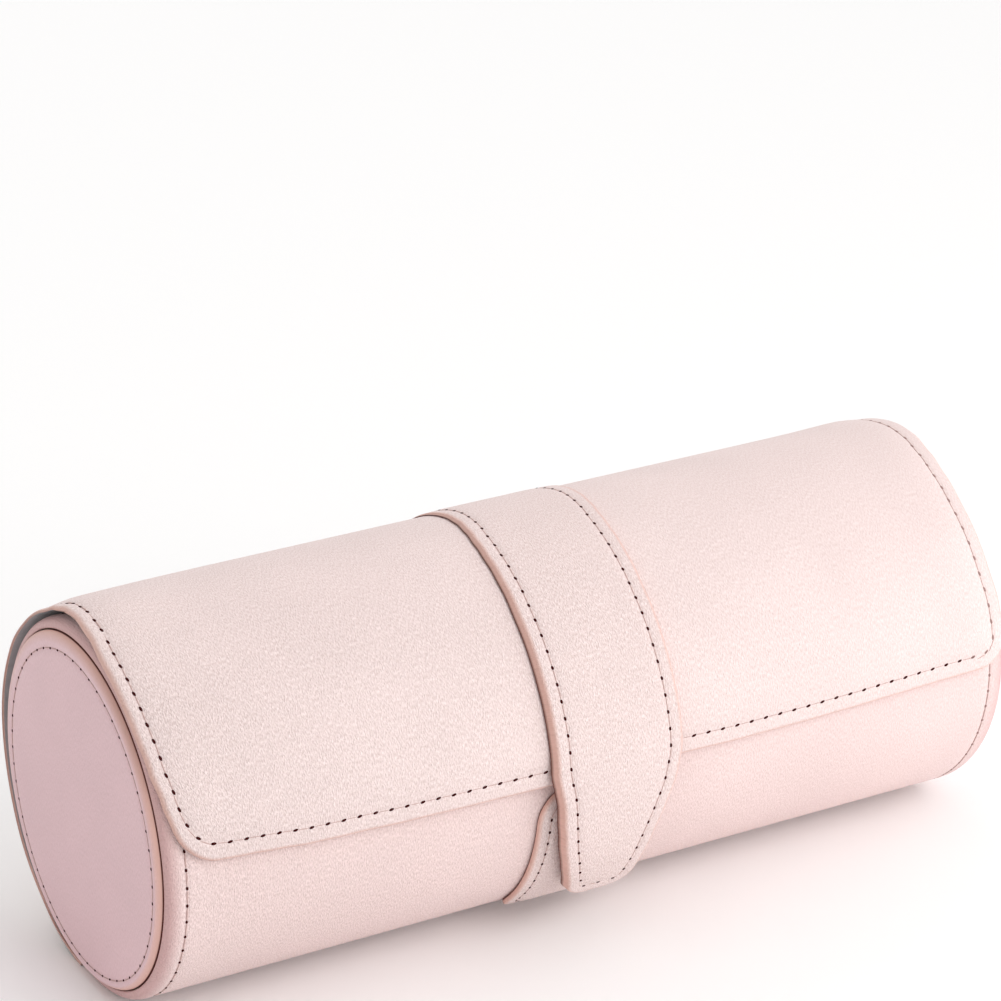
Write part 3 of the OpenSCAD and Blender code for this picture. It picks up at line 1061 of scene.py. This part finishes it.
def turned_disc(rings, side, columns):
    """A disc given as (radius, distance from the middle) rings, facing outward at one end."""
    points, uvs, faces = [], [], []
    for ring, out in rings:
        for j in range(columns):
            turn = 360 * j / columns
            points.append(around(side * out, turn, ring))
            uvs.append(polar(turn, ring))
    for a, b in ring_pairs(len(rings), columns):
        quad = (a, b, b + columns, a + columns)
        faces.append(tuple(reversed(quad)) if side > 0 else quad)
    cap = tuple(range(columns))
    faces.append(cap if side > 0 else tuple(reversed(cap)))
    return points, faces, uvs


STITCH_CIRCLE = 34.6 * MM
# The padded middle of each end cover sits a little low and to the front
COVER_SHIFT = Vector((0, -0.6, -0.45)) * MM
# Radii at which the face of an end cover has its points, in millimetres
COVER_STEPS = [
    0.8, 3, 6, 10, 14, 18, 22, 26, 29, 31, 32.6, 33.4, 33.9, 34.2, 34.4, 34.6, 34.8, 35, 35.25,
]
COVER_COLUMNS = 180
# Bulge of an end cover, the groove of its stitch row and the radius of its rim's corner
COVER_BULGE, COVER_GROOVE, COVER_CORNER = 0.4 * MM, 0.28 * MM, 1.6 * MM
# Radii between which the padded middle's shift fades out
SHIFT_FADE = (35.4 * MM, 37.2 * MM)


def cover_dome(radius):
    """How far the face of an end cover bulges at a radius."""
    return COVER_BULGE * (1 - (radius / sizes().end_radius) ** 2)


class JEWELRYCASE_OT_end_covers(bpy.types.Operator):
    """Set the padded round leather covers into both ends"""

    bl_idname = "jewelrycase.end_covers"
    bl_label = "End covers"

    def execute(self, context):
        s = sizes()
        face, rim, corner = s.case_length / 2 + s.end_proud, s.end_radius, COVER_CORNER
        rings = []
        for radius in [v * MM for v in COVER_STEPS]:
            dent = COVER_GROOVE * math.exp(-(((radius - STITCH_CIRCLE) / GROOVE_WIDTH) ** 2))
            rings.append((radius, face + cover_dome(radius) - dent))
        for lean in spread(0, math.pi / 2, math.pi / 36):
            out, up = corner * math.sin(lean), corner * math.cos(lean)
            rings.append((rim - corner + out, face - corner + up))
        rings.append((rim, face - s.end_proud - 2 * MM))
        edges = []
        # Deep in the gap the cover's wall gets an edge distance below zero, for painted shade; near
        # the rim it turns tan
        for radius, out in rings:
            sunk = max(0.0, face - 1.15 * MM - out)
            edges += [(rim - radius - 6 * sunk) / MM] * COVER_COLUMNS
        for label, side in ENDS:
            points, faces, uvs = turned_disc(rings, side, COVER_COLUMNS)
            for i, point in enumerate(points):
                radius = rings[i // COVER_COLUMNS][0]
                point += COVER_SHIFT * (1 - ease(*SHIFT_FADE, radius))
            name = f"end_cover_leather_{label}"
            piece = add_piece(name, points, faces, uvs, ["End leather"], None, edges)
            settle(piece, f"end_cover_{label}")
        return {"FINISHED"}


# Loops round a divider: millimetres drawn in, and place as a share of half the thickness
DIVIDER_LOOPS = [(0.9, -1), (0.3, -0.82), (0, -0.35), (0, 0.35), (0.3, 0.82), (0.9, 1)]
# Height above the axis of a divider's top, its corner radius and its lean in degrees
DIVIDER_TOP, DIVIDER_CORNER, DIVIDER_LEAN = 8 * MM, 9 * MM, 4
# Depth below the axis of the point it is drawn in to, its gap to the lining, and its taper
DIVIDER_CENTRE, DIVIDER_GAP, DIVIDER_TAPER = 14 * MM, 0.1 * MM, 1.5 * MM


class JEWELRYCASE_OT_dividers(bpy.types.Operator):
    """Stand the suede-covered dividers between the rooms"""

    bl_idname = "jewelrycase.dividers"
    bl_label = "Dividers"

    def execute(self, context):
        outline = self.outline()
        width = len(outline)
        centre = Vector((0, sizes().axis_height - DIVIDER_CENTRE))
        faces = [(a, b, b + width, a + width) for a, b in ring_pairs(len(DIVIDER_LOOPS), width)]
        faces.append(tuple(reversed(range(width))))
        faces.append(tuple((len(DIVIDER_LOOPS) - 1) * width + j for j in range(width)))
        for label, _ in ENDS:
            low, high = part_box(f"divider_{label}")
            middle_x, half = (low.x + high.x) / 2, (high.x - low.x) / 2
            points, uvs = [], []
            for inset, along in DIVIDER_LOOPS:
                for y, z in outline:
                    out = Vector((y, z)) - centre
                    place = centre + out * (1 - inset * MM / out.length)
                    points.append(Vector((middle_x + along * half, *place)))
                    uvs.append((y + along * half, z))
            piece = add_piece(f"divider_suede_{label}", points, faces, uvs, ["Grey suede"])
            settle(piece, f"divider_{label}")
        return {"FINISHED"}

    def outline(self):
        """Edge of a divider: round below, a straight top with round corners."""
        radius, corner = sizes().lining_radius - DIVIDER_GAP, DIVIDER_CORNER
        shoulder = DIVIDER_TOP - corner
        side = math.sqrt(radius**2 - shoulder**2)
        start = math.atan2(side, shoulder)
        points = []
        for turn in spread(start, 2 * math.pi - start, math.radians(3)):
            points.append((-radius * math.sin(turn), radius * math.cos(turn)))
        reach = side - DIVIDER_TAPER - corner
        for middle, first in ((reach, 0), (-reach, math.pi / 2)):
            for turn in spread(first, first + math.pi / 2, math.radians(15)):
                points.append(
                    (middle + corner * math.cos(turn), shoulder + corner * math.sin(turn))
                )
        lean, axis = math.radians(DIVIDER_LEAN), sizes().axis_height
        across, up = math.cos(lean), math.sin(lean)
        return [(y * across - z * up, axis + y * up + z * across) for y, z in points]


# Points round and along a cushion, and depths of its end pleats, its seam and its dents
CUSHION_COLUMNS, CUSHION_ROWS = 120, 60
PLEAT_DEPTH, SEAM_DEPTH, DENT_DEPTH = 0.5 * MM, 0.7 * MM, 0.35 * MM
# Pleats at each end of a cushion, and the angle of its seam in radians
PLEATS, SEAM_TURN = 15, 4.1


class JEWELRYCASE_OT_cushions(bpy.types.Operator):
    """Fill the rooms with soft roll cushions, gathered at their ends"""

    bl_idname = "jewelrycase.cushions"
    bl_label = "Cushions"

    def execute(self, context):
        for place, label in enumerate(("left", "middle", "right")):
            piece = self.roll(label, place)
            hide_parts(f"cushion_{label}")
            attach(piece, BODY)
        return {"FINISHED"}

    def roll(self, label, place):
        """One crowned roll with drawn-in, pleated ends and a lengthwise seam."""
        low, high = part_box(f"cushion_{label}")
        half = (high.x - low.x) / 2
        middle_x = (high.x + low.x) / 2
        crown = (high.y - low.y) / 2
        height = high.z - crown
        columns, rows = CUSHION_COLUMNS, CUSHION_ROWS
        points, uvs, faces = [], [], []
        for i in range(rows + 1):
            along = math.sin(math.pi / 2 * (2 * i / rows - 1))
            shape = (1 - abs(along) ** 5) ** 0.42
            swell = 1 - 0.05 * along**2
            radius = crown * (0.02 + 0.98 * shape) * swell
            for j in range(columns):
                turn = 2 * math.pi * j / columns
                side, up = math.sin(turn), math.cos(turn)
                pleat = PLEAT_DEPTH * abs(along) ** 10 * math.cos(PLEATS * turn)
                seam = SEAM_DEPTH * math.exp(-(((turn - SEAM_TURN) / 0.05) ** 2)) * shape
                spot = Vector((along * 1.3 + place * 7, up * 1.5, side * 1.5))
                dent = DENT_DEPTH * noise.noise(spot)
                reach = radius - pleat * shape - seam + min(0.0, dent)
                end = half * along * (1 - 0.03 * (1 - shape))
                y, z = reach * side, height + reach * up
                points.append(Vector((middle_x + end, y, max(z, low.z + 0.05 * MM))))
                uvs.append((middle_x + end, turn * crown))
        for a, b in ring_pairs(rows + 1, columns):
            faces.append((a, a + columns, b + columns, b))
        faces.append(tuple(range(columns)))
        faces.append(tuple(rows * columns + j for j in reversed(range(columns))))
        return add_piece(f"cushion_suede_{label}", points, faces, uvs, ["Grey suede"])


# Stitch rows

BEAD_SEGMENTS, BEAD_RINGS = 8, 5
BEAD_POINTS = BEAD_SEGMENTS * (BEAD_RINGS - 1) + 2
# Share of the pitch that a thread spans, and how far needle holes are turned from their row
THREAD_SPAN, HOLE_SLANT = 0.86, math.radians(14)
# How deep a strip's stitch row lies in its groove, and the rows of wrap and end covers below
# their faces; least height of the wrap's row above the table
SINK, WRAP_ROW_DEPTH, COVER_ROW_DEPTH = 0.02 * MM, 0.18 * MM, 0.24 * MM
TABLE_GAP = 0.2 * MM
# Pitch and hole size of the rows that stay on the case's body, and hole size on flap and strap
TAB_ROW, WRAP_ROW, COVER_ROW = (3.2 * MM, 0.85 * MM), (3.9 * MM, 0.8 * MM), (3.95 * MM, 0.7 * MM)
EDGE_HOLE = 0.95 * MM
# How much longer than wide needle holes are, on the flap, on the strap and elsewhere
FLAP_STRETCH, STRAP_STRETCH, PLAIN_STRETCH = 1.35, 1.0, 1.1
# Angle where the flap's stitch rows start, and where the wrap's rows start and end
FLAP_ROW_START, WRAP_ROW_TURNS = -140, (-138, 187)


def stitch_tree():
    """Geometry nodes that set needle holes and threads along a path at a pitch."""
    tree = bpy.data.node_groups.new("Stitch row", "GeometryNodeTree")
    for label, default in (
        ("Path", None),
        ("Pitch", sizes().stitch_pitch),
        ("Thread width", 0.24 * MM),
        ("Hole size", 0.8 * MM),
        ("Hole stretch", 1.35),
    ):
        kind = "NodeSocketFloat" if default else "NodeSocketGeometry"
        socket = tree.interface.new_socket(label, in_out="INPUT", socket_type=kind)
        if default:
            socket.default_value = default
    for label in ("Thread", "Needle hole"):
        tree.interface.new_socket(label, in_out="INPUT", socket_type="NodeSocketMaterial")
    tree.interface.new_socket("Stitches", in_out="OUTPUT", socket_type="NodeSocketGeometry")
    nodes = tree.nodes
    given, result = nodes.new("NodeGroupInput").outputs, nodes.new("NodeGroupOutput")
    curve = nodes.new("GeometryNodeMeshToCurve")
    link(tree, given["Path"], curve.inputs["Mesh"])
    resample = nodes.new("GeometryNodeResampleCurve")
    resample.mode = "LENGTH"
    link(tree, curve.outputs["Curve"], resample.inputs["Curve"])
    link(tree, given["Pitch"], resample.inputs["Length"])
    tangent = nodes.new("GeometryNodeInputTangent").outputs["Tangent"]
    normal = nodes.new("GeometryNodeInputNamedAttribute")
    normal.data_type = "FLOAT_VECTOR"
    normal.inputs["Name"].default_value = "surface_normal"
    along = nodes.new("FunctionNodeAlignRotationToVector")
    along.axis = "X"
    link(tree, tangent, along.inputs["Vector"])
    upright = nodes.new("FunctionNodeAlignRotationToVector")
    upright.axis, upright.pivot_axis = "Z", "X"
    link(tree, along.outputs["Rotation"], upright.inputs["Rotation"])
    link(tree, normal.outputs["Attribute"], upright.inputs["Vector"])
    slant = nodes.new("FunctionNodeRotateRotation")
    slant.rotation_space = "LOCAL"
    slant.inputs["Rotate By"].default_value = (0, 0, HOLE_SLANT)
    link(tree, upright.outputs["Rotation"], slant.inputs["Rotation"])
    bead = nodes.new("GeometryNodeMeshUVSphere")
    bead.inputs["Segments"].default_value = BEAD_SEGMENTS
    bead.inputs["Rings"].default_value = BEAD_RINGS
    bead.inputs["Radius"].default_value = 0.5
    half_step = nodes.new("ShaderNodeVectorMath")
    half_step.operation = "SCALE"
    link(tree, tangent, half_step.inputs[0])
    link(tree, math_node(tree, "MULTIPLY", given["Pitch"], 0.5), half_step.inputs["Scale"])
    shifted = nodes.new("GeometryNodeSetPosition")
    link(tree, resample.outputs["Curve"], shifted.inputs["Geometry"])
    link(tree, half_step.outputs[0], shifted.inputs["Offset"])
    width = given["Thread width"]
    thread_size = (math_node(tree, "MULTIPLY", given["Pitch"], THREAD_SPAN), width, width)
    hole_size = [
        math_node(tree, "MULTIPLY", given["Hole size"], share)
        for share in (given["Hole stretch"], 0.75, 0.45)
    ]
    joined = nodes.new("GeometryNodeJoinGeometry")
    for label, points, turn, size in (
        ("Needle hole", resample.outputs["Curve"], slant.outputs["Rotation"], hole_size),
        ("Thread", shifted.outputs["Geometry"], upright.outputs["Rotation"], thread_size),
    ):
        scale = nodes.new("ShaderNodeCombineXYZ")
        for axis, value in zip("XYZ", size):
            link(tree, value, scale.inputs[axis])
        placed = nodes.new("GeometryNodeInstanceOnPoints")
        link(tree, points, placed.inputs["Points"])
        link(tree, bead.outputs["Mesh"], placed.inputs["Instance"])
        link(tree, turn, placed.inputs["Rotation"])
        link(tree, scale.outputs["Vector"], placed.inputs["Scale"])
        real = nodes.new("GeometryNodeRealizeInstances")
        link(tree, placed.outputs["Instances"], real.inputs["Geometry"])
        finish = nodes.new("GeometryNodeSetMaterial")
        link(tree, real.outputs["Geometry"], finish.inputs["Geometry"])
        link(tree, given[label], finish.inputs["Material"])
        link(tree, finish.outputs["Geometry"], joined.inputs["Geometry"])
    link(tree, joined.outputs["Geometry"], result.inputs["Stitches"])


def sewn_row(name, path, closed, pitch, hole, stretch):
    """Stitches along a path of (point, surface normal) pairs, as a plain mesh."""
    mesh = bpy.data.meshes.new(name + "_path")
    edges = [(i, i + 1) for i in range(len(path) - 1)]
    if closed:
        edges.append((len(path) - 1, 0))
    mesh.from_pydata([tuple(p) for p, _ in path], edges, [])
    attribute = mesh.attributes.new("surface_normal", "FLOAT_VECTOR", "POINT")
    attribute.data.foreach_set("vector", [c for _, n in path for c in n])
    carrier = bpy.data.objects.new(name + "_path", mesh)
    bpy.context.scene.collection.objects.link(carrier)
    modifier = carrier.modifiers.new("Stitches", "NODES")
    modifier.node_group = bpy.data.node_groups["Stitch row"]
    values = {"Pitch": pitch, "Hole size": hole, "Hole stretch": stretch}
    values.update({label: bpy.data.materials[label] for label in ("Thread", "Needle hole")})
    for item in modifier.node_group.interface.items_tree:
        if item.in_out == "INPUT" and item.name in values:
            modifier[item.identifier] = values[item.name]
    bpy.context.view_layer.update()
    view = bpy.context.evaluated_depsgraph_get()
    sewn = bpy.data.meshes.new_from_object(carrier.evaluated_get(view))
    carrier.modifiers.remove(modifier)
    bpy.data.objects.remove(carrier)
    bpy.data.meshes.remove(mesh)
    if not sewn.vertices:
        raise RuntimeError(f"no stitches came out for {name}")
    return sewn


def stitch_pieces(name, sewn, choose):
    """Split a sewn row into pieces by the length of leather each stitch sits in."""
    blocks = {}
    for start in range(0, len(sewn.vertices), BEAD_POINTS):
        bead = [sewn.vertices[start + i].co for i in range(BEAD_POINTS)]
        key = choose(sum(bead, Vector()) / BEAD_POINTS)
        blocks.setdefault(key, set()).add(start // BEAD_POINTS)
    pieces = {}
    for key, members in sorted(blocks.items()):
        index, points, faces, slots = {}, [], [], []
        for polygon in sewn.polygons:
            if polygon.vertices[0] // BEAD_POINTS not in members:
                continue
            for corner in polygon.vertices:
                if corner not in index:
                    index[corner] = len(points)
                    points.append(sewn.vertices[corner].co.copy())
            faces.append(tuple(index[c] for c in polygon.vertices))
            slots.append(polygon.material_index)
        used = sorted(set(slots))
        materials = [sewn.materials[i].name for i in used]
        slots = [used.index(i) for i in slots]
        uvs = [(p.x, p.y) for p in points]
        pieces[key] = add_piece(f"{name}_{key}", points, faces, uvs, materials, slots)
    bpy.data.meshes.remove(sewn)
    return pieces


def inset_path(strip, step, from_run):
    """Path of a strip's stitch row: up one side, round the end and down the other."""

    def inside(side, run):
        low, high = 0.0, strip.half_width
        for _ in range(40):
            middle = (low + high) / 2
            if strip.row_distance(strip.middle + side * middle, run) > 0:
                low = middle
            else:
                high = middle
        return side * low

    last = strip.total - strip.end_inset
    bend = max(strip.corner_end - strip.inset, MM)
    runs = spread(from_run, last - bend, step)
    runs += [last - bend + bend * math.sin(a) for a in spread(0, math.pi / 2, math.pi / 30)[1:]]
    right, left = ([(inside(k, min(run, last - 1e-7)), run) for run in runs] for k in (1, -1))
    across = [(x, last) for x in spread(right[-1][0], left[-1][0], -step)[1:-1]]
    path = right + across + left[::-1]
    placed = []
    for offset, run in path:
        x = strip.middle + offset
        degrees = strip.turn(x, run)
        _, outer, _ = strip.radii(x, run)
        placed.append((around(strip.reach(x, run), degrees, outer - SINK), outward(degrees)))
    return placed


def angle_of(point):
    """Angle of a point round the case, from straight up toward the front."""
    return math.degrees(math.atan2(-point.y, point.z - sizes().axis_height))


def length_chooser(lengths):
    """A function that names the length of a strip a point lies in."""

    def choose(point):
        turn = angle_of(point)
        if turn > 150:
            turn -= 360
        for count, part in enumerate(lengths, 1):
            if turn < part.end:
                return count
        return len(lengths)

    return choose


class JEWELRYCASE_OT_stitches(bpy.types.Operator):
    """Sew the rows of stitches on flap, strap, tab, wrap and end covers"""

    bl_idname = "jewelrycase.stitches"
    bl_label = "Stitches"

    def execute(self, context):
        stitch_tree()
        s = sizes()
        flap, strap, tab = make_flap(), make_strap(), make_tab()
        for name, strip, from_run, lengths, closed, stretch in (
            ("flap_stitches", flap, flap.run_at(FLAP_ROW_START), FLAP_LENGTHS, False, FLAP_STRETCH),
            ("strap_stitches", strap, strap.end_inset + 1e-6, STRAP_LENGTHS, True, STRAP_STRETCH),
        ):
            path = inset_path(strip, MM, from_run)
            sewn = sewn_row(name, path, closed, s.stitch_pitch, EDGE_HOLE, stretch)
            for key, piece in stitch_pieces(name, sewn, length_chooser(lengths)).items():
                move_with(piece, lengths[key - 1])
        path = inset_path(tab, MM, tab.end_inset + 1e-6)
        self.fixed_row("tab_stitches", path, True, *TAB_ROW)
        half = s.case_length / 2
        cover_face = half + s.end_proud + cover_dome(STITCH_CIRCLE) - COVER_ROW_DEPTH
        wrap_face = s.case_radius - WRAP_ROW_DEPTH
        for label, side in ENDS:
            path = []
            for turn in spread(*WRAP_ROW_TURNS, 1.5):
                point = around(side * (half - SEAM_INSET), turn, wrap_face)
                point.z = max(point.z, TABLE_GAP)
                path.append((point, outward(turn)))
            self.fixed_row(f"wrap_stitches_{label}", path, False, *WRAP_ROW)
            path = []
            for turn in spread(0, 360, 1.5)[:-1]:
                point = around(side * cover_face, turn, STITCH_CIRCLE) + COVER_SHIFT
                path.append((point, Vector((side, 0, 0))))
            self.fixed_row(f"end_stitches_{label}", path, True, *COVER_ROW)
        return {"FINISHED"}

    def fixed_row(self, name, path, closed, pitch, hole):
        """A row that stays on the case's body."""
        sewn = sewn_row(name, path, closed, pitch, hole, PLAIN_STRETCH)
        for piece in stitch_pieces(name, sewn, lambda point: 1).values():
            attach(piece, BODY)


# Stage

FLOOR_HALF, FLOOR_HEIGHT = 6.0, -0.1 * MM
# Strength of the surroundings: level, and how it grows to the right and upward
WORLD_LEVEL, WORLD_RIGHT, WORLD_UP = 0.63, 0.3, 0.28
# The photograph's camera: direction in degrees, distance from its target, place of the target
# from the middle of the case, and focal length in pixels of the square photograph
VIEW_AZIMUTH, VIEW_ELEVATION, VIEW_DISTANCE = -29.53, 23.54, 0.812
VIEW_TARGET = Vector((-10.7, -13.0, 54.2)) * MM
FOCAL_PX, IMAGE_PX, SENSOR_WIDTH = 3958, 1001, 36


def area_light(name, place, target, size, power):
    lamp = bpy.data.lights.new(name, "AREA")
    lamp.size, lamp.energy = size, power
    holder = bpy.data.objects.new(name, lamp)
    holder.location = place
    holder.rotation_euler = (Vector(target) - Vector(place)).to_track_quat("-Z", "Y").to_euler()
    bpy.context.scene.collection.objects.link(holder)


class JEWELRYCASE_OT_stage(bpy.types.Operator):
    """Set the pale floor, the soft studio light and the camera"""

    bl_idname = "jewelrycase.stage"
    bl_label = "Stage"

    def execute(self, context):
        self.floor()
        self.world()
        middle = (0, 0, sizes().axis_height)
        area_light("Key softbox", (0.5, -1.15, 0.95), middle, size=1.0, power=7.05)
        area_light("Low fill", (0.36, -0.36, 0.04), (0.08, 0, 0.02), size=0.2, power=0.62)
        area_light("Floor softbox", (0, 1.2, 1.2), (0, 0.7, 0), size=1.0, power=2.1)
        self.camera()
        context.scene.view_settings.view_transform = "Standard"
        return {"FINISHED"}

    def floor(self):
        mesh = bpy.data.meshes.new("studio_floor")
        corners = [(-1, -1), (1, -1), (1, 1), (-1, 1)]
        points = [(x * FLOOR_HALF, y * FLOOR_HALF, FLOOR_HEIGHT) for x, y in corners]
        mesh.from_pydata(points, [], [(0, 1, 2, 3)])
        plain_material("Studio floor", colours().floor, 0.9, 0.1)
        mesh.materials.append(bpy.data.materials["Studio floor"])
        floor = bpy.data.objects.new("studio_floor", mesh)
        bpy.context.scene.collection.objects.link(floor)

    def world(self):
        """Soft white surroundings, brighter from above and from the right."""
        world = bpy.data.worlds.new("Studio")
        world.use_nodes = True
        tree = world.node_tree
        soft = tree.nodes["Background"]
        soft.inputs["Color"].default_value = (1, 0.99, 0.985, 1)
        direction = tree.nodes.new("ShaderNodeSeparateXYZ")
        link(tree, tree.nodes.new("ShaderNodeTexCoord").outputs["Generated"], direction.inputs[0])
        level = WORLD_LEVEL
        for axis, growth in (("X", WORLD_RIGHT), ("Z", WORLD_UP)):
            more = math_node(tree, "MULTIPLY", direction.outputs[axis], growth)
            level = math_node(tree, "ADD", more, level)
        link(tree, level, soft.inputs["Strength"])
        white = tree.nodes.new("ShaderNodeBackground")
        white.inputs["Color"].default_value = (1, 1, 1, 1)
        path = tree.nodes.new("ShaderNodeLightPath")
        seen = path.outputs["Is Camera Ray"]
        for ray in ("Is Glossy Ray", "Is Transmission Ray"):
            seen = math_node(tree, "MAXIMUM", seen, path.outputs[ray])
        mix = tree.nodes.new("ShaderNodeMixShader")
        link(tree, seen, mix.inputs["Fac"])
        link(tree, soft.outputs[0], mix.inputs[1])
        link(tree, white.outputs[0], mix.inputs[2])
        link(tree, mix.outputs[0], tree.nodes["World Output"].inputs["Surface"])
        bpy.context.scene.world = world

    def camera(self):
        """The photograph's view: measured direction, distance and focal length."""
        azimuth, elevation = math.radians(VIEW_AZIMUTH), math.radians(VIEW_ELEVATION)
        flat = math.cos(elevation)
        back = Vector((math.sin(azimuth) * flat, -math.cos(azimuth) * flat, math.sin(elevation)))
        target = VIEW_TARGET + Vector((0, 0, sizes().axis_height))
        lens = bpy.data.cameras.new("Photograph view")
        lens.sensor_width = SENSOR_WIDTH
        lens.lens = FOCAL_PX * SENSOR_WIDTH / IMAGE_PX
        lens.clip_start = 0.01
        holder = bpy.data.objects.new("Photograph view", lens)
        holder.location = target + back * VIEW_DISTANCE
        holder.rotation_euler = (-back).to_track_quat("-Z", "Y").to_euler()
        bpy.context.scene.collection.objects.link(holder)
        bpy.context.scene.camera = holder


OPERATORS = (
    JEWELRYCASE_OT_finishes,
    JEWELRYCASE_OT_wrap,
    JEWELRYCASE_OT_lining,
    JEWELRYCASE_OT_end_covers,
    JEWELRYCASE_OT_dividers,
    JEWELRYCASE_OT_cushions,
    JEWELRYCASE_OT_tab,
    JEWELRYCASE_OT_flap,
    JEWELRYCASE_OT_strap,
    JEWELRYCASE_OT_stitches,
    JEWELRYCASE_OT_stage,
)


class JEWELRYCASE_PT_panel(bpy.types.Panel):
    """Buttons for the pieces of the case"""

    bl_label = "Jewelry Case"
    bl_idname = "JEWELRYCASE_PT_panel"
    bl_space_type = "VIEW_3D"
    bl_region_type = "UI"
    bl_category = "Jewelry Case"

    def draw(self, context):
        for operator in OPERATORS:
            self.layout.operator(operator.bl_idname)


CLASSES = (CaseSizes, CaseColours, *OPERATORS, JEWELRYCASE_PT_panel)


def register():
    for item in CLASSES:
        bpy.utils.register_class(item)
    bpy.types.Scene.jewelry_case_sizes = PointerProperty(type=CaseSizes)
    bpy.types.Scene.jewelry_case_colours = PointerProperty(type=CaseColours)


def unregister():
    del bpy.types.Scene.jewelry_case_colours
    del bpy.types.Scene.jewelry_case_sizes
    for item in reversed(CLASSES):
        bpy.utils.unregister_class(item)


def main():
    register()
    for operator in OPERATORS:
        group, name = operator.bl_idname.split(".")
        getattr(getattr(bpy.ops, group), name)()


if __name__ == "__main__":
    main()
